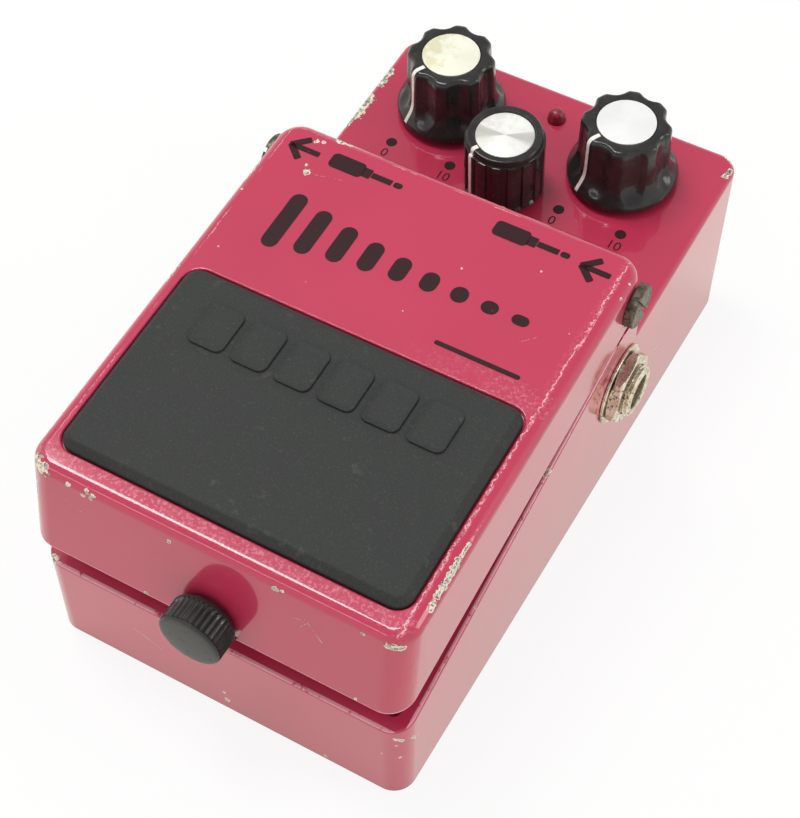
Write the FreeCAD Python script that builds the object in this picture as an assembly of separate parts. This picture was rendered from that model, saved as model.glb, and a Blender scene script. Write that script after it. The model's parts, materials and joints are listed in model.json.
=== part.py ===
import FreeCAD, Part
import math
import os
from FreeCAD import Placement, Rotation, Vector

# Compact foot pedal for a delay effect: cast base, hinged treadle, three knobs, jacks, and their insides.
# Millimetres. X runs to the right (input jack side), Y to the rear (knob side), Z up.
# The origin is the centre of the face that the pedal rests on.

os.makedirs("parts", exist_ok=True)

# Clearances that many pieces share
running_fit = 0.05
close_fit = 0.05
screw_fit = 0.15
loose_fit = 0.3
touch = 0.02
side_play = 0.12

# How far a boss runs into the wall that it grows from, and a cutter past the face that it cuts
weld = 1.0
past = 1.0
high = 60.0

# Base casting
body_width = 70.0
body_depth = 128.0
body_corner_radius = 4.0
body_wall = 2.6
casting_bottom_z = 0.5
rim_front_z = 20.8
rim_hinge_z = 41.2
rim_height_over_deck = 2.0
deck_thickness = 2.4
boss_cover = 0.6
ridge_top_z = 40.6
ridge_length = 8.6
ridge_step = 0.5
ridge_wall = 1.2
ridge_hollow_front = 2.0
ridge_hollow_rear = 3.0
panel_length = 45.4
panel_front_z = 34.6
panel_rear_z = 37.6
panel_thickness = 2.4
rim_edge_radius = 0.5
panel_edge_radius = 1.3

# Underside: a steel plate in a rebate, with a rubber mat below it
mat_thickness = 1.0
plate_thickness = 1.2
plate_ledge = 1.1
plate_clearance = 0.25
mat_inset = 0.8
corner_boss_radius = 3.6
corner_boss_inset = 6.3
base_screw_radius = 1.5
base_screw_length = 8.0
base_screw_head_radius = 2.9
base_screw_head_height = 0.9
base_screw_room = 0.5
screw_cross_length = 3.4
screw_cross_width = 0.6
screw_cross_depth = 0.5
sheet_thickness = 0.4
sheet_inset = 2.5

# Treadle
treadle_width = 70.5
treadle_corner_radius = 4.6
treadle_inner_corner_radius = 2.5
treadle_overhang = 1.1
treadle_front_lean = 2.7
treadle_side_draft = 0.4
treadle_rear_gap = 0.2
treadle_top_front_z = 47.6
treadle_top_rear_z = 53.8
skirt_front_z = 28.8
skirt_hinge_z = 42.6
treadle_wall = 2.1
treadle_top_thickness = 2.6
treadle_edge_radius = 2.2
rear_lip_bottom_z = 45.3
pad_length = 40.0
pad_width = 63.4
pad_front_margin = 4.6
pad_corner_radius = 2.8
pad_recess = 0.8
pad_recess_corner_radius = 3.4
pad_recess_rim_radius = 0.35
pad_thickness = 2.2
pad_clearance = 0.35
pad_edge_bevel = 1.2

# Treadle hinge: a shouldered screw on each side
hinge_from_ridge_rear = 4.1
hinge_z = 46.7
ear_radius = 3.9
ear_thickness = 4.0
ear_side_gap = 0.6
hinge_head_radius = 4.0
hinge_head_height = 1.7
hinge_head_rounding = 0.5
hinge_head_spot_depth = 0.1
hinge_shoulder_radius = 2.5
hinge_thread_radius = 1.9
hinge_washer_thickness = 0.5
hinge_slot_width = 0.9
hinge_slot_depth = 0.7
hinge_slot_turn = 35.0

# Thumbscrew that holds the treadle shut, with its guide bushing
thumb_z = 32.0
thumb_head_radius = 5.7
thumb_head_length = 5.9
thumb_head_rounding = 0.9
thumb_head_gap = 0.25
thumb_shank_radius = 2.0
thumb_engagement = 3.9
thumb_travel = 4.2
thumb_boss_length = 1.6
thumb_boss_half_width = 6.0
thumb_grip_count = 28
thumb_grip_radius = 0.45
thumb_grip_depth = 0.2
clip_thickness = 0.6
clip_radius = 3.6
clip_groove_depth = 0.4
clip_opening = 2.2
clip_gap = 0.5
bushing_radius = 4.5
bushing_length = 8.0
bushing_top_z = 37.0
bushing_bottom_z = 20.2
bushing_slot_play = 1.9
fork_thickness = 2.0
fork_over_screw = 1.0

# Foot switch and return spring, both near the front of the deck
front_group_from_front = 19.0
switch_x = -15.0
switch_size = 12.0
switch_height = 3.8
switch_floor = 0.8
switch_deck_gap = 0.4
switch_post_radius = 2.4
switch_post_gap = 0.8
switch_board_thickness = 1.6
switch_board_margin = 0.4
switch_board_width = 14.0
switch_screw_radius = 1.0
switch_screw_length = 5.6
switch_screw_head_radius = 2.0
switch_screw_head_height = 1.3
plunger_radius = 3.0
plunger_fit = 0.1
plunger_deck_gap = 0.6
plunger_above_deck = 3.0
plunger_travel = 0.8
plunger_rounding = 0.6
cushion_radius = 4.0
cushion_length = 5.0
cushion_gap = 0.4
cushion_post_margin = 0.4
spring_x = 14.0
spring_radius = 4.8
spring_wire_radius = 0.55
spring_turns = 6.0
spring_seat_radius = 6.4
spring_seat_wall = 1.1
spring_seat_lip = 1.2
spring_seat_rise = 0.2
spring_cup_length = 2.4

# Battery bay in the deck
bay_width = 55.0
bay_length = 29.0
bay_wall = 1.8
bay_floor_z = 8.0
bay_from_ridge_rear = 23.1
foam_thickness = 1.5
foam_length = 46.0
foam_width = 26.0
battery_length = 48.5
battery_width = 26.0
battery_height = 17.5
battery_corner = 2.2
battery_end_gap = 0.4
terminal_height = 2.2
terminal_spacing = 12.8
terminal_radii = (2.9, 3.6)
snap_thickness = 2.6
snap_length = 24.0
snap_width = 12.5
grommet_radius = 3.4
grommet_groove_depth = 1.0
grommet_flange = 0.9
grommet_hole_radius = 1.7
grommet_z = 28.2
grommet_from_bay_side = 4.0

# Leads
lead_radius = 0.55
lead_arc_share = 0.45
lead_spacing = 1.5
battery_lead_run = 6.7
battery_lead_starts = (4.5, 0.0)
jack_lead_landing = 4.3
jack_lead_offset = 3.0
switch_lead_offset = 2.5
switch_lead_from_edge = 1.5
switch_lead_z = 3.4
switch_lead_landing = 1.4
cable_lead_count = 6
cable_lead_pitch = 1.8
cable_from_rear = 16.5

# Jacks and power inlet
jack_from_ridge_rear = 5.8
jack_z = 27.0
jack_barrel_radius = 4.75
jack_bore_radius = 3.2
jack_barrel_reach = 4.2
jack_mouth_bevel = 0.4
jack_body_length = 20.0
jack_body_width = 15.0
jack_body_height = 9.8
jack_bore_length = 22.0
jack_washer_radius = 7.6
jack_washer_thickness = 0.6
jack_nut_across_flats = 12.7
jack_nut_thickness = 2.1
jack_nut_turn = 12.0
power_z = 15.2
power_body_width = 9.4
power_body_height = 10.0
power_body_length = 12.5
power_barrel_radius = 4.0
power_barrel_reach = 1.6
power_bore_radius = 2.85
power_bore_depth = 9.5
power_pin_radius = 1.05
power_pin_recess = 0.8
power_nut_thickness = 1.1
power_nut_across_flats = 11.0

# Knobs and potentiometers, measured square to the sloping panel
knob_spacing = 17.9
knob_row_shift = -1.0
knob_from_rear = 13.9
middle_knob_from_rear = 26.6
knob_foot = 1.2
knob_height = 14.4
knob_skirt_radius = 10.3
knob_skirt_height = 1.6
knob_waist_height = 6.2
knob_flare = 0.5
knob_body_radius = 8.5
knob_top_radius = 8.2
knob_flute_count = 8
knob_flute_radius = 3.8
knob_flute_depth = 0.95
knob_top_rounding = 1.0
middle_knob_radius = 7.4
middle_knob_height = 14.5
middle_knob_top_rounding = 0.4
middle_knob_ledge = 0.45
middle_knob_collar_height = 1.45
middle_knob_groove_count = 16
middle_knob_groove_width = 1.3
middle_knob_groove_depth = 0.42
disc_radius = 5.4
disc_thickness = 0.6
disc_recess = 0.5
pointer_width = 0.85
pointer_depth = 0.5
pointer_disc_gap = 0.25
pointer_low = 1.5
pointer_rest_turn = -30.0
nut_room_clearance = 0.6
nut_room_height_gap = 0.4
shaft_radius = 3.0
shaft_top = 10.4
shaft_end_gap = 0.2
pot_body_radius = 8.2
pot_body_height = 8.0
pot_body_floor = 1.5
pot_bushing_radius = 3.6
pot_bushing_top = 3.2
pot_nut_across_flats = 10.0
pot_nut_thickness = 2.0
pot_washer_radius = 5.6
pot_washer_thickness = 0.5
pot_board_gap = 0.05
pot_board_thickness = 1.4
pot_board_width = 56.0
pot_board_margin = 2.2
pot_board_rear_gap = 2.5
pot_board_boss_gap = 1.5
lamp_from_rear = 7.1
lamp_radius = 1.7
lamp_height = 2.4
lamp_flange = 0.4
lamp_flange_height = 0.9
lamp_flange_drop = 0.3
lamp_lead_radius = 0.25
lamp_lead_spacing = 1.2

# Main circuit board
board_z = 7.0
board_thickness = 1.6
board_side_margin = 1.6
board_length = 54.0
board_front_gap = 1.7
ledge_width = 5.0
ledge_height = 5.0
ledge_front_gap = 0.6
ledge_rear_gap = 1.5
board_screw_radius = 1.2
board_screw_length = 5.6
board_screw_head_radius = 2.2
board_screw_head_height = 1.4

# Pieces on the board, as places from the board's middle and its front edge
chip_width = 6.4
chip_height = 3.6
chip_places = ((-11, 23, 20), (11, 23, 20), (-14, 33, 10), (0, 33, 10), (14, 33, 10))
can_places = ((-12, 5, 3.2, 11), (-4, 5, 3.2, 11), (4, 5, 3.2, 11), (12, 5, 2.6, 9), (20, 5, 2.6, 9),
              (-24, 36, 2.6, 9), (24, 36, 2.6, 9), (-15, 42, 4.0, 10))
film_length = 6.4
film_width = 2.6
film_height = 6.5
film_places = ((-10, 11), (-10, 16), (10, 11), (10, 16), (-24, 31), (24, 31), (-24, 41), (24, 41))
resistor_radius = 0.95
resistor_length = 6.4
resistor_pitch = 2.6
resistor_lift = 0.05
resistor_row = 3
resistor_places = ((-20, 10), (20, 10), (-25.5, 20), (25.5, 20))
trimmer_size = 6.0
trimmer_height = 4.0
trimmer_rotor_radius = 2.2
trimmer_rotor_height = 1.0
trimmer_slot_length = 3.2
trimmer_slot_width = 0.7
trimmer_slot_depth = 0.6
trimmer_places = ((-6, 42), (4, 42), (14, 42))

# Lines that the sizes above give
front_y = -body_depth / 2
rear_y = body_depth / 2
half_width = body_width / 2
inner_half_width = half_width - body_wall
inner_corner_radius = body_corner_radius - body_wall
ridge_rear_y = rear_y - panel_length
ridge_front_y = ridge_rear_y - ridge_length
hinge_y = ridge_rear_y - hinge_from_ridge_rear
plate_z = mat_thickness
plate_top_z = plate_z + plate_thickness
panel_slope = (panel_rear_z - panel_front_z) / panel_length
panel_tilt = math.degrees(math.atan(panel_slope))
rim_slope = (rim_hinge_z - rim_front_z) / (hinge_y - front_y)
treadle_front_y = front_y - treadle_overhang
treadle_top_front_y = treadle_front_y + treadle_front_lean
treadle_rear_y = ridge_rear_y + treadle_rear_gap
treadle_rise = treadle_top_rear_z - treadle_top_front_z
treadle_slope = treadle_rise / (treadle_rear_y - treadle_top_front_y)
treadle_tilt = math.degrees(math.atan(treadle_slope))
skirt_slope = (skirt_hinge_z - skirt_front_z) / (hinge_y - treadle_front_y)
front_lean = treadle_front_lean / (treadle_top_front_z - skirt_front_z)
front_group_y = front_y + front_group_from_front
bay_rear_y = ridge_rear_y - bay_from_ridge_rear
bay_front_y = bay_rear_y - bay_length
bay_middle_y = (bay_front_y + bay_rear_y) / 2
jack_y = ridge_rear_y - jack_from_ridge_rear
board_front_y = bay_rear_y + bay_wall + board_front_gap
board_top_z = board_z + board_thickness
switch_post_offset = switch_size / 2 + switch_post_gap + switch_post_radius
thumb_wall_rear_y = treadle_front_y + treadle_wall + thumb_boss_length
bushing_front_y = thumb_wall_rear_y + thumb_travel + clip_thickness + 2 * clip_gap
bushing_y = bushing_front_y + bushing_length / 2
bushing_rear_y = bushing_front_y + bushing_length
clip_y = bushing_front_y - clip_gap - clip_thickness
battery_z = bay_floor_z + foam_thickness + close_fit
battery_middle_z = battery_z + battery_height / 2
battery_end_x = bay_width / 2 - battery_end_gap - battery_length + terminal_height
snap_x = battery_end_x - snap_thickness
grommet_x = -bay_width / 2 + grommet_from_bay_side
grommet_y = bay_rear_y + bay_wall / 2
pot_board_z = -panel_thickness - close_fit - pot_body_height - pot_board_gap - pot_board_thickness
nut_room_radius = pot_nut_across_flats / math.sqrt(3) + nut_room_clearance
nut_room_top = pot_bushing_top + nut_room_height_gap
x_axis = Vector(1, 0, 0)
y_axis = Vector(0, 1, 0)
z_axis = Vector(0, 0, 1)
origin = Vector(0, 0, 0)


def rim_z(y):
    """Height of the base rim below the treadle."""
    return rim_front_z + rim_slope * (y - front_y)


def deck_z(y):
    """Height of the deck inside the rim."""
    return rim_z(y) - rim_height_over_deck


def panel_z(y):
    """Height of the control panel."""
    return panel_front_z + panel_slope * (y - ridge_rear_y)


def treadle_top_z(y):
    """Height of the treadle's top face."""
    return treadle_top_front_z + treadle_slope * (y - treadle_top_front_y)


def skirt_z(y):
    """Height of the lower edge of the treadle's skirt."""
    return skirt_front_z + skirt_slope * (y - treadle_front_y)


def treadle_half_width(z):
    """Half the treadle's width at a height, with its side draft."""
    share = (z - skirt_front_z) / (treadle_top_rear_z - skirt_front_z)
    return treadle_width / 2 - treadle_side_draft * share


# Heights and places that follow from those lines
lowest_switch_deck_z = deck_z(front_group_y - switch_size / 2) - deck_thickness
switch_z = lowest_switch_deck_z - switch_deck_gap - switch_height
switch_board_z = switch_z - switch_board_thickness
plunger_top_z = deck_z(front_group_y) + plunger_above_deck
cushion_z = plunger_top_z + cushion_gap
cushion_top_z = cushion_z + cushion_length
spring_seat_z = deck_z(front_group_y + spring_seat_radius) + spring_seat_rise
spring_cup_z = treadle_top_z(front_group_y - spring_seat_radius) - treadle_top_thickness - spring_cup_length
skirt_inner_x = treadle_half_width(hinge_z + ear_radius) - treadle_wall
ear_face_x = skirt_inner_x - hinge_washer_thickness - 2 * side_play
hinge_spot_x = treadle_half_width(hinge_z) - hinge_head_spot_depth
thumb_face_y = treadle_front_y + front_lean * (thumb_z - skirt_front_z) + touch


def box(x0, x1, y0, y1, z0, z1):
    """Box between two corners."""
    return Part.makeBox(x1 - x0, y1 - y0, z1 - z0, Vector(x0, y0, z0))


def rod_x(radius, x0, x1, y, z):
    """Round bar along X."""
    return Part.makeCylinder(radius, abs(x1 - x0), Vector(min(x0, x1), y, z), x_axis)


def rod_y(radius, y0, y1, x, z):
    """Round bar along Y."""
    return Part.makeCylinder(radius, y1 - y0, Vector(x, y0, z), y_axis)


def rod_z(radius, z0, z1, x=0.0, y=0.0):
    """Round bar along Z."""
    return Part.makeCylinder(radius, z1 - z0, Vector(x, y, z0), z_axis)


def hexagon(across_flats, thickness, start, direction, turn=0.0):
    """Hexagonal prism, its first face centred on start."""
    radius = across_flats / math.sqrt(3)
    corners = []
    for side in range(6):
        angle = math.radians(60 * side + turn)
        corners.append(Vector(radius * math.cos(angle), radius * math.sin(angle), 0))
    prism = Part.Face(Part.makePolygon(corners + corners[:1])).extrude(Vector(0, 0, thickness))
    prism.Placement = Placement(start, Rotation(z_axis, direction))
    return prism


def rounded_outline(x0, x1, y0, y1, radius, z):
    """Level rectangle with round corners."""
    corners = ((x0, y0, 1, 1), (x1, y0, -1, 1), (x1, y1, -1, -1), (x0, y1, 1, -1))
    turn = radius * (1 - math.sqrt(0.5))
    arcs = []
    for x, y, right, back in corners:
        along_x = Vector(x + right * radius, y, z)
        middle = Vector(x + right * turn, y + back * turn, z)
        along_y = Vector(x, y + back * radius, z)
        ends = (along_y, along_x) if right == back else (along_x, along_y)
        arcs.append((ends[0], middle, ends[1]))
    edges = []
    for number, (first, middle, last) in enumerate(arcs):
        following = arcs[(number + 1) % len(arcs)][0]
        edges.append(Part.Arc(first, middle, last).toShape())
        edges.append(Part.makeLine(last, following))
    return Part.Wire(edges)


def rounded_block(x0, x1, y0, y1, radius, z0, z1):
    """Upright block with round corners."""
    return Part.Face(rounded_outline(x0, x1, y0, y1, radius, z0)).extrude(Vector(0, 0, z1 - z0))


def side_slab(points, x0, x1):
    """Outline in Y and Z, drawn out along X."""
    corners = [Vector(x0, y, z) for y, z in points]
    return Part.Face(Part.makePolygon(corners + corners[:1])).extrude(Vector(x1 - x0, 0, 0))


def revolved(points):
    """Outline of radius and height turned about Z."""
    corners = [Vector(r, 0, z) for r, z in points]
    return Part.Face(Part.makePolygon(corners + corners[:1])).revolve(origin, z_axis, 360)


def outline_gap(point, half_x, half_y, radius):
    """Distance from a point to a rounded rectangle about the origin, seen from above."""
    dx = abs(point.x) - (half_x - radius)
    dy = abs(point.y) - (half_y - radius)
    if dx > 0 and dy > 0:
        return abs(math.hypot(dx, dy) - radius)
    return abs(max(dx, dy) - radius)


def edge_samples(edge):
    """Three points along an edge."""
    first, last = edge.FirstParameter, edge.LastParameter
    return [edge.valueAt(first + (last - first) * share) for share in (0.15, 0.5, 0.85)]


def edges_where(shape, wanted):
    """Edges whose sample points all pass the test."""
    return [edge for edge in shape.Edges if all(wanted(point) for point in edge_samples(edge))]


def on_panel(x, y, local):
    """Move a shape from its own upright frame onto the sloping panel at x, y."""
    moved = local.copy()
    tilted = Placement(Vector(x, y, panel_z(y)), Rotation(x_axis, panel_tilt))
    moved.Placement = tilted.multiply(local.Placement)
    return moved


def on_treadle(local):
    """Move a shape from the frame of the treadle's top face into place."""
    middle_y = (treadle_rear_y + treadle_top_front_y) / 2
    moved = local.copy()
    middle = Vector(0, middle_y, treadle_top_z(middle_y))
    moved.Placement = Placement(middle, Rotation(x_axis, treadle_tilt))
    return moved


def mirrored(shape):
    """The same shape on the other side of the pedal."""
    return shape.mirror(origin, x_axis)


def lead(label, points):
    """Round lead: straight runs joined by tangent arcs, each as large as its two runs allow."""
    points = [Vector(*point) for point in points]
    edges = []
    radii = []
    start = points[0]
    for before, corner, after in zip(points, points[1:], points[2:]):
        back = before - corner
        ahead = after - corner
        reach = lead_arc_share * min(back.Length, ahead.Length)
        back.normalize()
        ahead.normalize()
        half = back.getAngle(ahead) / 2
        bend = reach * math.tan(half)
        inward = (back + ahead).normalize()
        middle = corner + inward * (bend / math.sin(half) - bend)
        first = corner + back * reach
        last = corner + ahead * reach
        edges.append(Part.makeLine(start, first))
        edges.append(Part.Arc(first, middle, last).toShape())
        radii.append(round(bend, 2))
        start = last
    edges.append(Part.makeLine(start, points[-1]))
    path = Part.Wire(edges)
    section = Part.Wire([Part.makeCircle(lead_radius, points[0], points[1] - points[0])])
    tube = path.makePipeShell([section], True, True)
    share = tube.Volume / (math.pi * lead_radius ** 2 * path.Length)
    print(f"{label}: bend radii {radii} mm, volume over section times length {share:.4f}")
    return tube


def corner_places():
    """Where the four base screws go."""
    x = half_width - corner_boss_inset
    y = body_depth / 2 - corner_boss_inset
    return [(-x, -y), (-x, y), (x, -y), (x, y)]


def ledge_places():
    """Side and front edge of each ledge that the main board is screwed to."""
    front = board_front_y + ledge_front_gap
    rear = board_front_y + board_length - ledge_width - ledge_rear_gap
    return [(-1, front), (-1, rear), (1, front), (1, rear)]


def ledge_screw_places():
    """Centres of the screws in the board ledges."""
    x = inner_half_width - (ledge_width + board_side_margin) / 2
    return [(side * x, y + ledge_width / 2) for side, y in ledge_places()]


def switch_screw_places():
    """Where the two screws of the switch board go, along X."""
    return [switch_x - switch_post_offset, switch_x + switch_post_offset]


def knob_places():
    """Panel places of the three knobs."""
    return {
        "left": (knob_row_shift - knob_spacing, rear_y - knob_from_rear),
        "middle": (knob_row_shift, rear_y - middle_knob_from_rear),
        "right": (knob_row_shift + knob_spacing, rear_y - knob_from_rear),
    }


def below_deck_and_panel(cover):
    """Everything lower than the deck and the panel by a cover, as a side outline."""
    return [
        (front_y, -high),
        (front_y, deck_z(front_y) - cover),
        (ridge_front_y, deck_z(ridge_front_y) - cover),
        (ridge_front_y + ridge_hollow_rear, panel_front_z - cover),
        (rear_y, panel_z(rear_y) - cover),
        (rear_y, -high),
    ]


def casting_block():
    """The casting's outer plan, far higher than the casting."""
    return rounded_block(-half_width, half_width, front_y, rear_y, body_corner_radius,
                         casting_bottom_z, high)


def chassis_shell():
    """Walls, rim, deck, hinge ridge and control panel, hollow from below."""
    ahead = front_y - past
    behind = rear_y + past
    outline = [
        (ahead, casting_bottom_z - past),
        (ahead, rim_z(ahead)),
        (ridge_front_y, rim_z(ridge_front_y)),
        (ridge_front_y + ridge_step, ridge_top_z),
        (ridge_rear_y, ridge_top_z),
        (ridge_rear_y, panel_front_z),
        (behind, panel_z(behind)),
        (behind, casting_bottom_z - past),
    ]
    body = casting_block().common(side_slab(outline, -body_width, body_width))

    def on_border(point):
        return outline_gap(point, half_width, body_depth / 2, body_corner_radius) < 0.01

    def on_panel_border(point):
        return abs(point.z - panel_z(point.y)) < 0.01 and on_border(point)

    def on_rim_border(point):
        return abs(point.z - rim_z(point.y)) < 0.01 and point.y < ridge_front_y and on_border(point)

    body = body.makeFillet(panel_edge_radius, edges_where(body, on_panel_border))
    body = body.makeFillet(rim_edge_radius, edges_where(body, on_rim_border))

    hollow_front = ridge_front_y - ridge_hollow_front
    hollow_rear = ridge_front_y + ridge_hollow_rear
    under = [
        (front_y, -high),
        (front_y, deck_z(front_y) - deck_thickness),
        (hollow_front, deck_z(hollow_front) - deck_thickness),
        (hollow_rear, panel_front_z - panel_thickness),
        (ridge_rear_y, panel_front_z - panel_thickness),
        (rear_y, panel_z(rear_y) - panel_thickness),
        (rear_y, -high),
    ]
    recess_rear = ridge_front_y - ridge_wall
    over = [
        (front_y, deck_z(front_y)),
        (recess_rear, deck_z(recess_rear)),
        (recess_rear, high),
        (front_y, high),
    ]
    core = rounded_block(-inner_half_width, inner_half_width, front_y + body_wall, rear_y - body_wall,
                         inner_corner_radius, casting_bottom_z - past, high)
    body = body.cut(core.common(side_slab(under, -body_width, body_width)))
    body = body.cut(core.common(side_slab(over, -body_width, body_width)))
    edge = half_width - body_wall + plate_ledge
    rebate = rounded_block(-edge, edge, front_y + body_wall - plate_ledge, rear_y - body_wall + plate_ledge,
                           inner_corner_radius + plate_ledge, casting_bottom_z - past, plate_top_z)
    return body.cut(rebate)


def chassis_bosses():
    """Everything that grows down from the deck and the panel."""
    pieces = []
    for x, y in corner_places():
        pieces.append(rod_z(corner_boss_radius, plate_top_z, high, x, y))
    for side, y in ledge_places():
        ends = sorted((side * (inner_half_width - ledge_width), side * (inner_half_width + weld)))
        pieces.append(box(ends[0], ends[1], y, y + ledge_width, board_top_z, board_top_z + ledge_height))
    for x in switch_screw_places():
        pieces.append(rod_z(switch_post_radius, switch_z, high, x, front_group_y))
    side = bay_width / 2 + bay_wall
    pieces.append(box(-side, side, bay_front_y - bay_wall, bay_rear_y + bay_wall,
                      bay_floor_z - bay_wall, high))
    region = casting_block().common(side_slab(below_deck_and_panel(boss_cover), -body_width, body_width))
    return [piece.common(region) for piece in pieces]


def spring_seat():
    """Round seat with a low lip on the deck."""
    low = deck_z(front_group_y) - deck_thickness
    top = spring_seat_z + spring_seat_lip
    outer = rod_z(spring_seat_radius + spring_seat_wall, low, top, spring_x, front_group_y)
    return outer.cut(rod_z(spring_seat_radius, spring_seat_z, high, spring_x, front_group_y))


def hinge_ear():
    """Ear on the ridge, with the tapped hole for the hinge screw."""
    inner_x = ear_face_x - ear_thickness
    ear = rod_x(ear_radius, inner_x, ear_face_x, hinge_y, hinge_z)
    foot = box(inner_x, ear_face_x, hinge_y - ear_radius, hinge_y + ear_radius, ridge_top_z - weld, hinge_z)
    ear = ear.fuse(foot)
    return ear.cut(rod_x(hinge_thread_radius + close_fit, inner_x - past, ear_face_x + past,
                         hinge_y, hinge_z))


def chassis_openings():
    """Everything that is cut through the casting."""
    side = bay_width / 2
    cutters = [box(-side, side, bay_front_y, bay_rear_y, bay_floor_z, high)]
    groove_radius = grommet_radius - grommet_groove_depth
    cutters.append(rod_y(groove_radius, bay_rear_y - past, bay_rear_y + bay_wall + past,
                         grommet_x, grommet_z))
    width = bushing_radius + loose_fit
    low = deck_z(front_y) - 2 * deck_thickness
    slot_front = bushing_y - bushing_slot_play
    slot_rear = bushing_y + bushing_slot_play
    cutters.append(box(-width, width, slot_front, slot_rear, low, high))
    cutters.append(rod_z(width, low, high, 0, slot_front))
    cutters.append(rod_z(width, low, high, 0, slot_rear))
    cutters.append(rod_z(plunger_radius + plunger_deck_gap, switch_z, high, switch_x, front_group_y))
    top = switch_z + switch_screw_length - switch_board_thickness + loose_fit
    for x in switch_screw_places():
        cutters.append(rod_z(switch_screw_radius + close_fit, switch_z - past, top, x, front_group_y))
    for side in (-1, 1):
        cutters.append(rod_x(jack_barrel_radius + close_fit, side * (inner_half_width - past),
                             side * (half_width + past), jack_y, jack_z))
    cutters.append(rod_y(power_barrel_radius + close_fit, rear_y - body_wall - past, rear_y + past,
                         0, power_z))
    low = -panel_thickness - 2 * past
    for x, y in knob_places().values():
        cutters.append(on_panel(x, y, rod_z(pot_bushing_radius + close_fit, low, past)))
    cutters.append(on_panel(0, rear_y - lamp_from_rear, rod_z(lamp_radius + close_fit, low, past)))
    top = plate_z + base_screw_length + loose_fit
    for x, y in corner_places():
        cutters.append(rod_z(base_screw_radius + close_fit, plate_z, top, x, y))
    top = board_z + board_screw_length + loose_fit
    for x, y in ledge_screw_places():
        cutters.append(rod_z(board_screw_radius + close_fit, board_z, top, x, y))
    return cutters


def chassis():
    """Cast base in one piece."""
    body = chassis_shell()
    for piece in chassis_bosses():
        body = body.fuse(piece)
    ear = hinge_ear()
    for piece in (spring_seat(), ear, mirrored(ear)):
        body = body.fuse(piece)
    for cutter in chassis_openings():
        body = body.cut(cutter)
    return body.removeSplitter()


def plate_block(inset, z0, z1):
    """Plan of the base plate, drawn in by an inset."""
    edge = half_width - body_wall + plate_ledge - plate_clearance - inset
    depth = body_depth / 2 - body_wall + plate_ledge - plate_clearance - inset
    return rounded_block(-edge, edge, -depth, depth, inner_corner_radius + plate_ledge, z0, z1)


def base_plate():
    """Steel plate in the underside's rebate."""
    plate = plate_block(0, plate_z, plate_top_z)
    for x, y in corner_places():
        plate = plate.cut(rod_z(base_screw_radius + screw_fit, plate_z - past, plate_top_z + past, x, y))
    return plate


def rubber_mat():
    """Anti-slip mat stuck to the plate, open round the screw heads."""
    mat = plate_block(mat_inset, 0, mat_thickness)
    for x, y in corner_places():
        mat = mat.cut(rod_z(base_screw_head_radius + base_screw_room, -past, mat_thickness + past, x, y))
    return mat


def base_screws():
    """Four screws that hold the plate to the corner bosses."""
    screws = []
    low = plate_z - base_screw_head_height
    length = screw_cross_length / 2
    width = screw_cross_width / 2
    for x, y in corner_places():
        screw = rod_z(base_screw_head_radius, low, plate_z, x, y)
        screw = screw.fuse(rod_z(base_screw_radius, low, plate_z + base_screw_length, x, y))
        for dx, dy in ((length, width), (width, length)):
            screw = screw.cut(box(x - dx, x + dx, y - dy, y + dy, low - past, low + screw_cross_depth))
        screws.append(screw)
    return screws


def insulating_sheet():
    """Thin sheet that keeps the plate off the board's solder side."""
    side = inner_half_width - sheet_inset
    rear = rear_y - 2 * corner_boss_inset
    return box(-side, side, board_front_y, rear, plate_top_z, plate_top_z + sheet_thickness)


def treadle_block(inset, top_inset, skirt_drop):
    """Treadle outline as a solid: leaning front, drafted sides, sloping top, lower edge along a slope."""
    wires = []
    for z in (skirt_front_z - 2 * treadle_wall, treadle_top_rear_z + 2 * treadle_wall):
        half = treadle_half_width(z) - inset
        front = treadle_front_y + front_lean * (z - skirt_front_z) + inset
        radius = max(treadle_corner_radius - inset, treadle_inner_corner_radius)
        wires.append(rounded_outline(-half, half, front, treadle_rear_y - inset, radius, z))
    block = Part.makeLoft(wires, True, True)
    ahead = treadle_front_y - past
    behind = treadle_rear_y + past
    profile = [
        (ahead, skirt_z(ahead) - skirt_drop),
        (behind, skirt_z(behind) - skirt_drop),
        (behind, treadle_top_z(behind) - top_inset),
        (ahead, treadle_top_z(ahead) - top_inset),
    ]
    return block.common(side_slab(profile, -body_width, body_width))


def treadle_shell():
    """Top plate, skirt and rear lip, open where the hinge ears stand."""

    def on_top_border(point):
        return abs(point.z - treadle_top_z(point.y)) < 0.01

    def on_recess_rim(point):
        return on_top_border(point) and abs(point.x) < pad_width / 2 + pad_clearance + 0.01

    shell = treadle_block(0, 0, 0)
    shell = shell.makeFillet(treadle_edge_radius, edges_where(shell, on_top_border))
    recess = pad_block(pad_clearance, pad_recess_corner_radius, -pad_recess, pad_thickness)
    shell = shell.cut(on_treadle(recess))
    shell = shell.makeFillet(pad_recess_rim_radius, edges_where(shell, on_recess_rim))
    shell = shell.cut(treadle_block(treadle_wall, treadle_top_thickness, high))
    side = treadle_half_width(hinge_z + ear_radius) - treadle_wall
    front = treadle_rear_y - treadle_wall - treadle_inner_corner_radius
    shell = shell.cut(box(-side, side, front, treadle_rear_y + past, 0, rear_lip_bottom_z))
    gap = ear_face_x - ear_thickness - ear_side_gap
    underside = treadle_top_z(front) - treadle_top_thickness
    for ends in ((-side, -gap), (gap, side)):
        shell = shell.cut(box(ends[0], ends[1], front, treadle_rear_y + past, 0, underside))
    return shell


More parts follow.
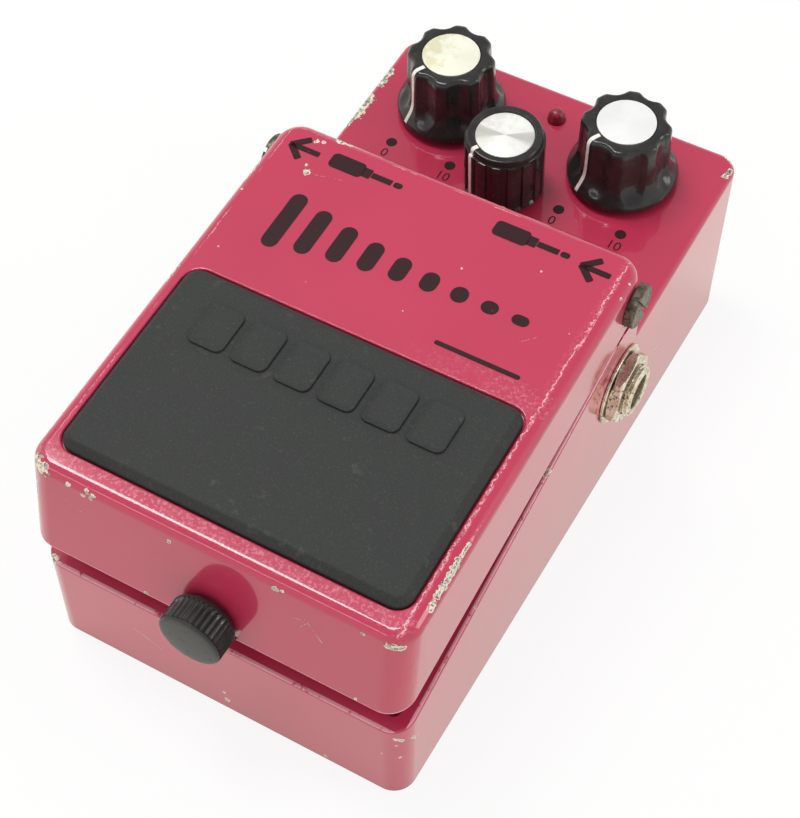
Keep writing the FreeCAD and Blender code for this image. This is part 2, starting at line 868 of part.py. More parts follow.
def treadle_inside():
    """Thumbscrew boss, fork round the guide bushing, spring cup and switch post."""
    half = thumb_boss_half_width
    low = thumb_z - thumb_shank_radius - treadle_wall / 2
    pieces = [box(-half, half, treadle_front_y, thumb_wall_rear_y, low, high)]
    near = bushing_radius + loose_fit
    for x in (-near - fork_thickness, near):
        pieces.append(box(x, x + fork_thickness, thumb_wall_rear_y - weld, bushing_rear_y,
                          thumb_z + fork_over_screw, high))
    cup_radius = spring_seat_radius + spring_seat_wall
    cup = rod_z(cup_radius, spring_cup_z - spring_seat_lip, high, spring_x, front_group_y)
    pieces.append(cup.cut(rod_z(spring_seat_radius, 0, spring_cup_z, spring_x, front_group_y)))
    pieces.append(rod_z(cushion_radius + cushion_post_margin, cushion_top_z, high, switch_x, front_group_y))
    room = treadle_block(treadle_wall / 4, (pad_recess + treadle_top_thickness) / 2, high)
    return [piece.common(room) for piece in pieces]


def treadle():
    """Cast treadle in one piece, with the pad's recess and the holes for its screws."""
    shell = treadle_shell()
    for piece in treadle_inside():
        shell = shell.fuse(piece)
    shell = shell.cut(rod_y(thumb_head_radius + loose_fit, thumb_face_y - 2 * thumb_head_radius,
                            thumb_face_y, 0, thumb_z))
    shell = shell.cut(rod_y(thumb_shank_radius + screw_fit, thumb_face_y - past, thumb_wall_rear_y + past,
                            0, thumb_z))
    outer = half_width + 2 * past
    for side in (-1, 1):
        shell = shell.cut(rod_x(hinge_shoulder_radius + running_fit, side * ear_face_x, side * outer,
                                hinge_y, hinge_z))
        shell = shell.cut(rod_x(hinge_head_radius + loose_fit, side * hinge_spot_x, side * outer,
                                hinge_y, hinge_z))
    return shell.removeSplitter()


def pad_block(grow, radius, low, top):
    """The pad's plan as a block, in the frame of the treadle's top face."""
    length = math.hypot(treadle_rear_y - treadle_top_front_y, treadle_rise)
    front = -length / 2 + pad_front_margin
    half = pad_width / 2 + grow
    return rounded_block(-half, half, front - grow, front + pad_length + grow, radius, low, top)


def rubber_pad():
    """Foot pad in the treadle's recess, its upper edge bevelled."""
    top = pad_thickness - pad_recess
    pad = pad_block(0, pad_corner_radius, -pad_recess, top)

    def on_top(point):
        return abs(point.z - top) < 0.01

    return on_treadle(pad.makeChamfer(pad_edge_bevel, edges_where(pad, on_top)))


def hinge_screw():
    """Shouldered hinge screw with a slotted head."""
    head_x = hinge_spot_x + side_play
    top_x = head_x + hinge_head_height
    shoulder_x = ear_face_x + touch
    thread_x = ear_face_x - ear_thickness + loose_fit

    def on_top(point):
        return abs(point.x - top_x) < 0.01

    screw = rod_x(hinge_head_radius, head_x, top_x, hinge_y, hinge_z)
    screw = screw.makeFillet(hinge_head_rounding, edges_where(screw, on_top))
    screw = screw.fuse(rod_x(hinge_shoulder_radius, shoulder_x, head_x + hinge_head_rounding,
                             hinge_y, hinge_z))
    screw = screw.fuse(rod_x(hinge_thread_radius, thread_x, head_x, hinge_y, hinge_z))
    half = hinge_slot_width / 2
    reach = hinge_head_radius + past
    slot = box(top_x - hinge_slot_depth, top_x + past, hinge_y - half, hinge_y + half,
               hinge_z - reach, hinge_z + reach)
    slot.rotate(Vector(0, hinge_y, hinge_z), x_axis, hinge_slot_turn)
    return screw.cut(slot)


def hinge_washer():
    """Nylon washer between an ear and the skirt."""
    x0 = ear_face_x + side_play
    x1 = x0 + hinge_washer_thickness
    washer = rod_x(ear_radius, x0, x1, hinge_y, hinge_z)
    return washer.cut(rod_x(hinge_shoulder_radius + close_fit, x0 - past, x1 + past, hinge_y, hinge_z))


def thumbscrew():
    """Knurled head, shank and a groove for the clip."""
    rear = thumb_face_y - thumb_head_gap
    front = rear - thumb_head_length

    def on_front(point):
        return abs(point.y - front) < 0.01

    head = rod_y(thumb_head_radius, front, rear, 0, thumb_z)
    head = head.makeFillet(thumb_head_rounding, edges_where(head, on_front))
    reach = thumb_head_radius + thumb_grip_radius - thumb_grip_depth
    for step in range(thumb_grip_count):
        angle = 2 * math.pi * step / thumb_grip_count
        head = head.cut(rod_y(thumb_grip_radius, front + thumb_head_rounding, rear - thumb_grip_radius,
                              reach * math.cos(angle), thumb_z + reach * math.sin(angle)))
    shank_end = bushing_front_y + thumb_engagement
    screw = head.fuse(rod_y(thumb_shank_radius, rear - weld, shank_end, 0, thumb_z))
    clip_end = clip_y + clip_thickness
    groove = rod_y(thumb_shank_radius + past, clip_y - close_fit, clip_end + close_fit, 0, thumb_z)
    core = rod_y(thumb_shank_radius - clip_groove_depth, clip_y - past, clip_end + past, 0, thumb_z)
    return screw.cut(groove.cut(core))


def thumbscrew_clip():
    """Open ring in the shank's groove that keeps the thumbscrew in the treadle."""
    y1 = clip_y + clip_thickness
    ring = rod_y(clip_radius, clip_y, y1, 0, thumb_z)
    inner = thumb_shank_radius - clip_groove_depth + close_fit
    ring = ring.cut(rod_y(inner, clip_y - past, y1 + past, 0, thumb_z))
    half = clip_opening / 2
    return ring.cut(box(-half, half, clip_y - past, y1 + past, thumb_z - clip_radius - past, thumb_z))


def guide_bushing():
    """Nylon bushing that the thumbscrew screws into, standing through the deck's slot."""
    post = rod_z(bushing_radius, bushing_bottom_z, bushing_top_z, 0, bushing_y)
    post = post.common(box(-bushing_radius, bushing_radius, bushing_front_y, bushing_rear_y, 0, high))
    return post.cut(rod_y(thumb_shank_radius + close_fit, bushing_front_y - past, bushing_rear_y + past,
                          0, thumb_z))


def foot_switch():
    """Housing of the push switch below the deck."""
    half = switch_size / 2
    housing = box(switch_x - half, switch_x + half, front_group_y - half, front_group_y + half,
                  switch_z, switch_z + switch_height)
    return housing.cut(rod_z(plunger_radius + plunger_fit, switch_z + switch_floor, high,
                             switch_x, front_group_y))


def switch_plunger():
    """Button of the foot switch, standing up through the deck."""
    low = switch_z + switch_floor + plunger_travel + close_fit

    def on_top(point):
        return abs(point.z - plunger_top_z) < 0.01

    plunger = rod_z(plunger_radius, low, plunger_top_z, switch_x, front_group_y)
    return plunger.makeFillet(plunger_rounding, edges_where(plunger, on_top))


def switch_board():
    """Small board under the foot switch, screwed to two posts."""
    half = switch_post_offset + switch_post_radius + switch_board_margin
    depth = switch_board_width / 2
    board = box(switch_x - half, switch_x + half, front_group_y - depth, front_group_y + depth,
                switch_board_z, switch_z)
    for x in switch_screw_places():
        board = board.cut(rod_z(switch_screw_radius + screw_fit, 0, high, x, front_group_y))
    return board


def switch_screws():
    """Two small screws that hold the switch board."""
    screws = []
    for x in switch_screw_places():
        low = switch_board_z - switch_screw_head_height
        head = rod_z(switch_screw_head_radius, low, switch_board_z, x, front_group_y)
        shank = rod_z(switch_screw_radius, low, switch_board_z + switch_screw_length, x, front_group_y)
        screws.append(head.fuse(shank))
    return screws


def switch_cushion():
    """Rubber cushion on the treadle's post that presses the plunger."""
    return rod_z(cushion_radius, cushion_z, cushion_top_z, switch_x, front_group_y)


def treadle_spring():
    """Coil spring between the deck's seat and the treadle's cup."""
    low = spring_seat_z + touch + spring_wire_radius
    top = spring_cup_z - touch - spring_wire_radius
    mean = spring_radius - spring_wire_radius
    helix = Part.makeHelix((top - low) / spring_turns, top - low, mean)
    section = Part.Wire([Part.makeCircle(spring_wire_radius, Vector(mean, 0, 0), y_axis)])
    coil = Part.Wire(helix.Edges).makePipeShell([section], True, True)
    coil.translate(Vector(spring_x, front_group_y, low))
    return coil


def terminal_places():
    """Y places and radii of the two battery terminals."""
    offset = terminal_spacing / 2
    return ((bay_middle_y - offset, terminal_radii[0]), (bay_middle_y + offset, terminal_radii[1]))


def battery():
    """Block battery lying on its foam, terminals towards the snap."""
    x1 = bay_width / 2 - battery_end_gap
    depth = battery_width / 2
    cell = box(battery_end_x, x1, bay_middle_y - depth, bay_middle_y + depth,
               battery_z, battery_z + battery_height)
    long_edges = [edge for edge in cell.Edges if abs(edge.tangentAt(0).x) > 0.9]
    cell = cell.makeFillet(battery_corner, long_edges)
    for y, radius in terminal_places():
        cell = cell.fuse(rod_x(radius, battery_end_x - terminal_height, battery_end_x + weld,
                               y, battery_middle_z))
    return cell


def battery_snap():
    """Clip on the battery's terminals: a flat block with two sockets."""
    length = snap_length / 2
    width = snap_width / 2
    plate = box(snap_x, battery_end_x - touch, bay_middle_y - length, bay_middle_y + length,
                battery_middle_z - width, battery_middle_z + width)
    for y, radius in terminal_places():
        plate = plate.cut(rod_x(radius + close_fit, battery_end_x - terminal_height - close_fit,
                                battery_end_x + past, y, battery_middle_z))
    return plate


def battery_foam():
    """Foam strip under the battery."""
    x1 = bay_width / 2 - battery_end_gap
    depth = foam_width / 2
    return box(x1 - foam_length, x1, bay_middle_y - depth, bay_middle_y + depth,
               bay_floor_z, bay_floor_z + foam_thickness)


def battery_grommet():
    """Rubber ring where the battery leads leave the bay."""
    y0 = bay_rear_y - grommet_flange
    y1 = bay_rear_y + bay_wall + grommet_flange
    ring = rod_y(grommet_radius, y0, y1, grommet_x, grommet_z)
    groove = rod_y(grommet_radius + past, bay_rear_y - touch, bay_rear_y + bay_wall + touch,
                   grommet_x, grommet_z)
    core = rod_y(grommet_radius - grommet_groove_depth - close_fit, y0 - past, y1 + past,
                 grommet_x, grommet_z)
    ring = ring.cut(groove.cut(core))
    return ring.cut(rod_y(grommet_hole_radius, y0 - past, y1 + past, grommet_x, grommet_z))


def battery_lead(label, side, start_y):
    """One battery lead: up from the snap, through the grommet and down to the main board."""
    x = grommet_x + side * lead_spacing / 2
    from_x = snap_x + snap_thickness / 2
    y = bay_middle_y + start_y
    near_y = bay_rear_y - 4 * grommet_flange
    drop_y = bay_rear_y + bay_wall + battery_lead_run
    snap_top = battery_middle_z + snap_width / 2
    return lead(label, [
        (from_x, y, snap_top),
        (from_x, y, grommet_z),
        (x, near_y, grommet_z),
        (x, drop_y, grommet_z),
        (x, drop_y, board_top_z),
    ])


def jack():
    """Phone jack: body inside the wall, threaded barrel through it."""
    inner = inner_half_width - close_fit
    outer = half_width + jack_barrel_reach
    depth = jack_body_width / 2
    height = jack_body_height / 2

    def on_mouth(point):
        return abs(point.x - outer) < 0.01

    barrel = rod_x(jack_barrel_radius, inner - weld, outer, jack_y, jack_z)
    barrel = barrel.makeChamfer(jack_mouth_bevel, edges_where(barrel, on_mouth))
    body = box(inner - jack_body_length, inner, jack_y - depth, jack_y + depth,
               jack_z - height, jack_z + height)
    bore = rod_x(jack_bore_radius, outer - jack_bore_length, outer + past, jack_y, jack_z)
    return body.fuse(barrel).cut(bore)


def jack_washer():
    """Flat washer under a jack's nut."""
    x0 = half_width + touch
    x1 = x0 + jack_washer_thickness
    washer = rod_x(jack_washer_radius, x0, x1, jack_y, jack_z)
    return washer.cut(rod_x(jack_barrel_radius + close_fit, x0 - past, x1 + past, jack_y, jack_z))


def jack_nut():
    """Hexagon nut on a jack's barrel."""
    x0 = half_width + 2 * touch + jack_washer_thickness
    x1 = x0 + jack_nut_thickness
    start = Vector(x0, jack_y, jack_z)
    nut = hexagon(jack_nut_across_flats, jack_nut_thickness, start, x_axis, jack_nut_turn)
    return nut.cut(rod_x(jack_barrel_radius + close_fit, x0 - past, x1 + past, jack_y, jack_z))


def power_socket():
    """Barrel socket in the rear wall, with its centre pin."""
    inner = rear_y - body_wall - close_fit
    outer = rear_y + power_barrel_reach
    width = power_body_width / 2
    height = power_body_height / 2
    floor_y = outer - power_bore_depth
    body = box(-width, width, inner - power_body_length, inner, power_z - height, power_z + height)
    body = body.fuse(rod_y(power_barrel_radius, inner - weld, outer, 0, power_z))
    body = body.cut(rod_y(power_bore_radius, floor_y, outer + past, 0, power_z))
    return body.fuse(rod_y(power_pin_radius, floor_y - weld, outer - power_pin_recess, 0, power_z))


def power_nut():
    """Thin nut that holds the power socket."""
    y0 = rear_y + touch
    nut = hexagon(power_nut_across_flats, power_nut_thickness, Vector(0, y0, power_z), y_axis)
    return nut.cut(rod_y(power_barrel_radius + close_fit, y0 - past, y0 + power_nut_thickness + past,
                         0, power_z))


def pot_body():
    """Potentiometer can with its threaded bushing, upright frame, panel face at height 0."""
    top = -panel_thickness - close_fit
    body = rod_z(pot_body_radius, top - pot_body_height, top)
    body = body.fuse(rod_z(pot_bushing_radius, top - weld, pot_bushing_top))
    return body.cut(rod_z(shaft_radius + running_fit, top - pot_body_height + pot_body_floor, high))


def pot_shaft():
    """Shaft that turns with a knob."""
    low = -panel_thickness - close_fit - pot_body_height + pot_body_floor + side_play
    return rod_z(shaft_radius, low, shaft_top)


def pot_washer():
    """Washer on the panel under a potentiometer's nut."""
    ring = rod_z(pot_washer_radius, touch, touch + pot_washer_thickness)
    return ring.cut(rod_z(pot_bushing_radius + close_fit, -past, pot_washer_thickness + past))


def pot_nut():
    """Nut that holds a potentiometer to the panel."""
    low = pot_washer_thickness + 2 * touch
    nut = hexagon(pot_nut_across_flats, pot_nut_thickness, Vector(0, 0, low), z_axis)
    return nut.cut(rod_z(pot_bushing_radius + close_fit, -past, low + pot_nut_thickness + past))


def fluted_profile(inset):
    """Half section of the outer knobs, drawn in by an inset."""
    skirt_top = knob_foot + knob_skirt_height
    top = knob_height - inset
    return [
        (0, knob_foot),
        (knob_skirt_radius - inset, knob_foot),
        (knob_skirt_radius - inset, skirt_top),
        (knob_body_radius + knob_flare - inset, (skirt_top + knob_waist_height) / 2),
        (knob_body_radius - inset, knob_waist_height),
        (knob_top_radius - inset, top - knob_top_rounding),
        (knob_top_radius - knob_top_rounding - inset, top),
        (0, top),
    ]


def round_profile(inset):
    """Half section of the middle knob with the collar on its top, drawn in by an inset."""
    top = middle_knob_height - inset
    collar = middle_knob_radius - middle_knob_ledge - inset
    return [
        (0, knob_foot),
        (middle_knob_radius - inset, knob_foot),
        (middle_knob_radius - inset, top - middle_knob_collar_height),
        (collar, top - middle_knob_collar_height),
        (collar, top - middle_knob_top_rounding),
        (collar - middle_knob_top_rounding, top),
        (0, top),
    ]


def middle_knob_grooves():
    """Narrow upright grooves round the middle knob's side."""
    inner = middle_knob_radius - middle_knob_groove_depth
    half = middle_knob_groove_width / 2
    grooves = []
    for place in range(middle_knob_groove_count):
        groove = box(-half, half, -middle_knob_radius - past, -inner, knob_foot - past, middle_knob_height)
        groove.rotate(origin, z_axis, 360 * (place + 0.5) / middle_knob_groove_count)
        grooves.append(groove)
    return grooves


def knob_flutes():
    """Broad round flutes of the outer knobs, from the skirt up."""
    reach = knob_body_radius + knob_flute_radius - knob_flute_depth
    flutes = []
    for place in range(knob_flute_count):
        angle = 2 * math.pi * (place + 0.5) / knob_flute_count
        flutes.append(rod_z(knob_flute_radius, knob_foot + knob_skirt_height, knob_height + past,
                            reach * math.sin(angle), -reach * math.cos(angle)))
    return flutes


def pointer_inlay(profile, low, top):
    """White line over the top and down the side of a knob, on the side towards the front."""
    skin = revolved(profile(0)).cut(revolved(profile(pointer_depth)))
    half = pointer_width / 2
    near = -disc_radius - close_fit - pointer_disc_gap
    return skin.common(box(-half, half, -2 * knob_skirt_radius, near, low, top + past))


def knob_and_pointer(profile, low, top, cuts):
    """One knob with its shaft bore, nut room and disc recess, and the pointer let into it."""
    knob = revolved(profile(0))
    pointer = pointer_inlay(profile, low, top)
    for piece in cuts:
        knob = knob.cut(piece)
    knob = knob.cut(rod_z(shaft_radius + touch, 0, shaft_top + shaft_end_gap))
    knob = knob.cut(rod_z(nut_room_radius, 0, nut_room_top))
    knob = knob.cut(rod_z(disc_radius + close_fit, top - disc_recess, top + past))
    return knob.cut(pointer), pointer


def knob_disc(top):
    """Metal disc let into the top of a knob."""
    low = top - disc_recess + touch
    return rod_z(disc_radius, low, low + disc_thickness)


def turned_to_rest(shape):
    """Turn a knob's piece so that its pointer stands at the low end of its travel."""
    turned = shape.copy()
    turned.rotate(origin, z_axis, pointer_rest_turn)
    return turned


def pot_board():
    """Board soldered below the three potentiometers, in the panel's slope."""
    front = knob_from_rear - middle_knob_from_rear - pot_body_radius - pot_board_margin
    rear = knob_from_rear - body_wall - pot_board_rear_gap
    half = pot_board_width / 2
    top = pot_board_z + pot_board_thickness
    board = box(-half, half, front, rear, pot_board_z, top)
    reach = corner_boss_radius + pot_board_boss_gap
    corner_y = knob_from_rear - corner_boss_inset - reach
    for side in (-1, 1):
        x = side * (half_width - corner_boss_inset)
        board = board.cut(box(x - reach, x + reach, corner_y, rear + past, pot_board_z - past, top + past))
    return on_panel(0, rear_y - knob_from_rear, board)


def lamp():
    """Indicator lamp: dome through the panel, flange and two leads to the board below."""
    flange_top = -panel_thickness - lamp_flange_drop
    flange_low = flange_top - lamp_flange_height
    board_top = pot_board_z + pot_board_thickness
    dome_z = lamp_height - lamp_radius
    body = rod_z(lamp_radius, flange_low, dome_z)
    body = body.fuse(Part.makeSphere(lamp_radius, Vector(0, 0, dome_z)))
    body = body.fuse(rod_z(lamp_radius + lamp_flange, flange_low, flange_top))
    for x in (-lamp_lead_spacing / 2, lamp_lead_spacing / 2):
        body = body.fuse(rod_z(lamp_lead_radius, board_top, flange_top, x))
    return on_panel(0, rear_y - lamp_from_rear, body)


def main_board():
    """Main circuit board, screwed up to four ledges."""
    half = inner_half_width - board_side_margin
    board = box(-half, half, board_front_y, board_front_y + board_length, board_z, board_top_z)
    for x, y in ledge_screw_places():
        board = board.cut(rod_z(board_screw_radius + screw_fit, board_z - past, board_top_z + past, x, y))
    return board


def board_screws():
    """Four screws that hold the main board to its ledges."""
    screws = []
    low = board_z - board_screw_head_height
    for x, y in ledge_screw_places():
        head = rod_z(board_screw_head_radius, low, board_z, x, y)
        screws.append(head.fuse(rod_z(board_screw_radius, low, board_z + board_screw_length, x, y)))
    return screws


def board_box(x, y, length, width, height):
    """Block that stands on the main board."""
    middle = board_front_y + y
    return box(x - length / 2, x + length / 2, middle - width / 2, middle + width / 2,
               board_top_z, board_top_z + height)


def board_chips():
    """Long and short chips."""
    return [board_box(x, y, length, chip_width, chip_height) for x, y, length in chip_places]


def board_cans():
    """Upright can capacitors."""
    cans = []
    for x, y, radius, height in can_places:
        cans.append(rod_z(radius, board_top_z, board_top_z + height, x, board_front_y + y))
    return cans


def board_films():
    """Flat dipped capacitors standing on edge."""
    return [board_box(x, y, film_length, film_width, film_height) for x, y in film_places]


def board_resistors():
    """Rows of resistors lying on the board."""
    found = []
    z = board_top_z + resistor_lift + resistor_radius
    half = resistor_length / 2
    for x, first in resistor_places:
        for step in range(resistor_row):
            y = board_front_y + first + step * resistor_pitch
            found.append(rod_x(resistor_radius, x - half, x + half, y, z))
    return found


def board_trimmers():
    """Preset resistors with a slotted rotor."""
    found = []
    top = board_top_z + trimmer_height + trimmer_rotor_height
    half = trimmer_slot_length / 2
    width = trimmer_slot_width / 2
    for x, y in trimmer_places:
        middle = board_front_y + y
        body = board_box(x, y, trimmer_size, trimmer_size, trimmer_height)
        body = body.fuse(rod_z(trimmer_rotor_radius, board_top_z + trimmer_height / 2, top, x, middle))
        found.append(body.cut(box(x - half, x + half, middle - width, middle + width,
                                  top - trimmer_slot_depth, top + past)))
    return found


def jack_leads():
    """Two leads from the inner end of each jack down to the main board."""
    x = inner_half_width - close_fit - jack_body_length
    leads = []
    for side in (-1, 1):
        for offset in (-jack_lead_offset, jack_lead_offset):
            y = jack_y + offset
            leads.append(lead("jack lead", [
                (side * x, y, jack_z),
                (side * jack_lead_landing, y, jack_z),
                (side * jack_lead_landing, y, board_top_z),
            ]))
    return leads


def switch_leads():
    """Two leads from the switch board back under the battery bay to the main board."""
    start_y = front_group_y + switch_board_width / 2 - switch_lead_from_edge
    end_y = board_front_y + switch_lead_landing
    leads = []
    for x in (switch_x - switch_lead_offset, switch_x + switch_lead_offset):
        leads.append(lead("switch lead", [
            (x, start_y, switch_board_z),
            (x, start_y, switch_lead_z),
            (x, end_y, switch_lead_z),
            (x, end_y, board_z),
        ]))
    return leads


def panel_cable():
    """Row of straight leads from the potentiometers' board down to the main board."""
    y = rear_y - cable_from_rear
    first = -cable_lead_pitch * (cable_lead_count - 1) / 2
    tilt = math.radians(panel_tilt)
    top = panel_z(y) + pot_board_z / math.cos(tilt) - lead_radius * math.tan(tilt)
    return [rod_z(lead_radius, board_top_z, top, first + cable_lead_pitch * step, y)
            for step in range(cable_lead_count)]


def export(name, shape):
    """Write one node; a list is written as a group of separate solids."""
    pieces = shape if isinstance(shape, list) else [shape]
    solids = [solid for piece in pieces for solid in piece.Solids]
    whole = solids[0] if len(solids) == 1 else Part.makeCompound(solids)
    print(f"{name:24s} solids {len(solids)} valid {whole.isValid()} volume {whole.Volume:10.1f} mm3")
    whole.exportStep(f"parts/{name}.step")


def both_sides(shape):
    """A piece and its mirror image."""
    return [shape, mirrored(shape)]


def export_base():
    """Casting, underside and circuit board."""
    export("chassis", chassis())
    export("base_plate", base_plate())
    export("rubber_mat", rubber_mat())
    export("base_screws", base_screws())
    export("insulating_sheet", insulating_sheet())
    export("main_board", main_board())
    export("board_screws", board_screws())
    export("board_chips", board_chips())
    export("board_can_capacitors", board_cans())
    export("board_film_capacitors", board_films())
    export("board_resistors", board_resistors())
    export("board_trimmers", board_trimmers())


def export_treadle():
    """Treadle, its hinge, its thumbscrew, the switch below it and the spring."""
    export("treadle", treadle())
    export("rubber_pad", rubber_pad())
    export("hinge_screws", both_sides(hinge_screw()))
    export("hinge_washers", both_sides(hinge_washer()))
    export("thumbscrew", thumbscrew())
    export("thumbscrew_clip", thumbscrew_clip())
    export("guide_bushing", guide_bushing())
    export("foot_switch", foot_switch())
    export("switch_plunger", switch_plunger())
    export("switch_board", switch_board())
    export("switch_screws", switch_screws())
    export("switch_cushion", switch_cushion())
    export("treadle_spring", treadle_spring())


def export_electrics():
    """Battery, jacks, power inlet and leads."""
    export("battery", battery())
    export("battery_snap", battery_snap())
    export("battery_foam", battery_foam())
    export("battery_grommet", battery_grommet())
    export("battery_lead_red", battery_lead("red battery lead", 1, battery_lead_starts[0]))
    export("battery_lead_black", battery_lead("black battery lead", -1, battery_lead_starts[1]))
    export("input_jack", jack())
    export("output_jack", mirrored(jack()))
    export("jack_washers", both_sides(jack_washer()))
    export("jack_nuts", both_sides(jack_nut()))
    export("power_socket", power_socket())
    export("power_nut", power_nut())
    export("jack_leads", jack_leads())
    export("switch_leads", switch_leads())
    export("panel_cable", panel_cable())


def export_controls():
    """Knobs, potentiometers and the lamp."""
    skirt_top = knob_foot + knob_skirt_height
    for name, (x, y) in knob_places().items():
        if name == "middle":
            top = middle_knob_height
            low = knob_foot + pointer_low
            knob, pointer = knob_and_pointer(round_profile, low, top, middle_knob_grooves())
        else:
            top = knob_height
            low = skirt_top + pointer_low / 2
            knob, pointer = knob_and_pointer(fluted_profile, low, top, knob_flutes())
        export(f"knob_{name}", on_panel(x, y, turned_to_rest(knob)))
        export(f"knob_pointer_{name}", on_panel(x, y, turned_to_rest(pointer)))
        export(f"knob_disc_{name}", on_panel(x, y, knob_disc(top)))
        export(f"pot_shaft_{name}", on_panel(x, y, pot_shaft()))
        export(f"pot_body_{name}", on_panel(x, y, pot_body()))
    export("pot_washers", [on_panel(x, y, pot_washer()) for x, y in knob_places().values()])
    export("pot_nuts", [on_panel(x, y, pot_nut()) for x, y in knob_places().values()])
    export("pot_board", pot_board())
    export("lamp", lamp())


export_base()
export_treadle()
export_electrics()
export_controls()
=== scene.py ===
# %% [markdown]
# # A compact delay pedal
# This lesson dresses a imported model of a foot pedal: a cast base with a sloping control panel, a hinged
# treadle with a rubber foot pad, three knobs, jacks at the sides and a thumbscrew in front. The packed
# model gives every piece its place and size. Here each visible piece gets its real surface: glossy
# metallic paint with chips, matte rubber, moulded knobs, plated nuts and bare steel.

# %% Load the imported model
import json
import math

import bmesh
import bpy
from mathutils import Matrix, Vector


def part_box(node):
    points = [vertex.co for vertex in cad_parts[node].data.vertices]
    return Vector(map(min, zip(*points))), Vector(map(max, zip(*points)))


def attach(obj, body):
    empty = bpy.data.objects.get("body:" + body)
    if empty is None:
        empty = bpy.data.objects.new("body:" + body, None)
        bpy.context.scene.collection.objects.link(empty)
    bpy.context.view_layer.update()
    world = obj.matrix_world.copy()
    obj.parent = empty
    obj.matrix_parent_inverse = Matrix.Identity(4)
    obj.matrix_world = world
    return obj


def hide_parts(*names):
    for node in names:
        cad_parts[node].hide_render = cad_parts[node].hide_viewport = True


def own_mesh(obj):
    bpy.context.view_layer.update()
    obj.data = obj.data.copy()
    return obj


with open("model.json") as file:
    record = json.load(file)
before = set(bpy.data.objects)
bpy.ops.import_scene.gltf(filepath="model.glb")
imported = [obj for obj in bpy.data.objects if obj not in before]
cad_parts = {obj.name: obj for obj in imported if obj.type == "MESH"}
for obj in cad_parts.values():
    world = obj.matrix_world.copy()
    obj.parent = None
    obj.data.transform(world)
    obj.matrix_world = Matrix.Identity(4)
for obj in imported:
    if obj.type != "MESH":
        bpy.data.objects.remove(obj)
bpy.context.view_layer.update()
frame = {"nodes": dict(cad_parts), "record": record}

MM = 0.001
nodes = frame["nodes"]

# %% [markdown]
# ## Camera
# The photograph looks down on the pedal from the front right. Its place and lens were worked out from the
# outline of the base, the treadle and the pad. The lens needs no shift, so other views stay true.

# %% Camera at the photograph's angle
FRAME_WIDTH = 800
FRAME_HEIGHT = 818
FOCAL_PIXELS = 1878.91
CAMERA_PLACE = Vector((101.553, -183.816, 287.632)) * MM
CAMERA_RIGHT = Vector((0.870324, 0.492477, 0.001895))
CAMERA_UP = Vector((-0.393074, 0.692327, 0.605125))

camera_data = bpy.data.cameras.new("camera")
camera = bpy.data.objects.new("camera", camera_data)
bpy.context.scene.collection.objects.link(camera)
turn = Matrix((CAMERA_RIGHT, CAMERA_UP, CAMERA_RIGHT.cross(CAMERA_UP))).transposed().to_4x4()
camera.matrix_world = Matrix.Translation(CAMERA_PLACE) @ turn
camera_data.sensor_width = 36.0
camera_data.lens = FOCAL_PIXELS / max(FRAME_WIDTH, FRAME_HEIGHT) * camera_data.sensor_width
camera_data.clip_start = 0.01
camera_data.clip_end = 20.0
bpy.context.scene.camera = camera
print("lens", round(camera_data.lens, 2), "mm")

# %% [markdown]
# ## Writing shader maths as Python
# A material is a small program made of nodes. Wrapping a socket in a class lets that program read like
# arithmetic: `mask = (height - 0.2) * 3` adds the Math nodes by itself. Every other node comes from one
# method that first sets the node's options and then its inputs.


# %% A socket that can be added, multiplied and compared
class Signal:
    """One output socket; arithmetic on it adds Math nodes."""

    def __init__(self, tree, socket):
        self.tree = tree
        self.socket = socket

    def math(self, operation, *others):
        node = self.tree.nodes.new("ShaderNodeMath")
        node.operation = operation
        for place, value in enumerate((self,) + others):
            if isinstance(value, Signal):
                self.tree.links.new(value.socket, node.inputs[place])
            else:
                node.inputs[place].default_value = value
        return Signal(self.tree, node.outputs[0])

    def after(self, operation, first):
        """The operation with a plain number in first place."""
        node = self.tree.nodes.new("ShaderNodeMath")
        node.operation = operation
        node.inputs[0].default_value = first
        self.tree.links.new(self.socket, node.inputs[1])
        return Signal(self.tree, node.outputs[0])

    def __add__(self, other):
        return self.math("ADD", other)

    def __sub__(self, other):
        return self.math("SUBTRACT", other)

    def __mul__(self, other):
        return self.math("MULTIPLY", other)

    def __truediv__(self, other):
        return self.math("DIVIDE", other)

    def __pow__(self, other):
        return self.math("POWER", other)

    def __radd__(self, other):
        return self.math("ADD", other)

    def __rmul__(self, other):
        return self.math("MULTIPLY", other)

    def __rsub__(self, other):
        return self.after("SUBTRACT", other)

    def __neg__(self):
        return self.math("MULTIPLY", -1.0)

    def __abs__(self):
        return self.math("ABSOLUTE")

    def least(self, other):
        return self.math("MINIMUM", other)

    def most(self, other):
        return self.math("MAXIMUM", other)

    def clipped(self):
        """Kept from 0 to 1. A clamp box would be worked out late, and hold many values back meanwhile."""
        return self.most(0.0).least(1.0)

    def ramp(self, low, high):
        """0 below low, 1 above high, smooth between."""
        node = self.tree.nodes.new("ShaderNodeMapRange")
        node.interpolation_type = "SMOOTHSTEP"
        self.tree.links.new(self.socket, node.inputs["Value"])
        node.inputs["From Min"].default_value = low
        node.inputs["From Max"].default_value = high
        return Signal(self.tree, node.outputs["Result"])


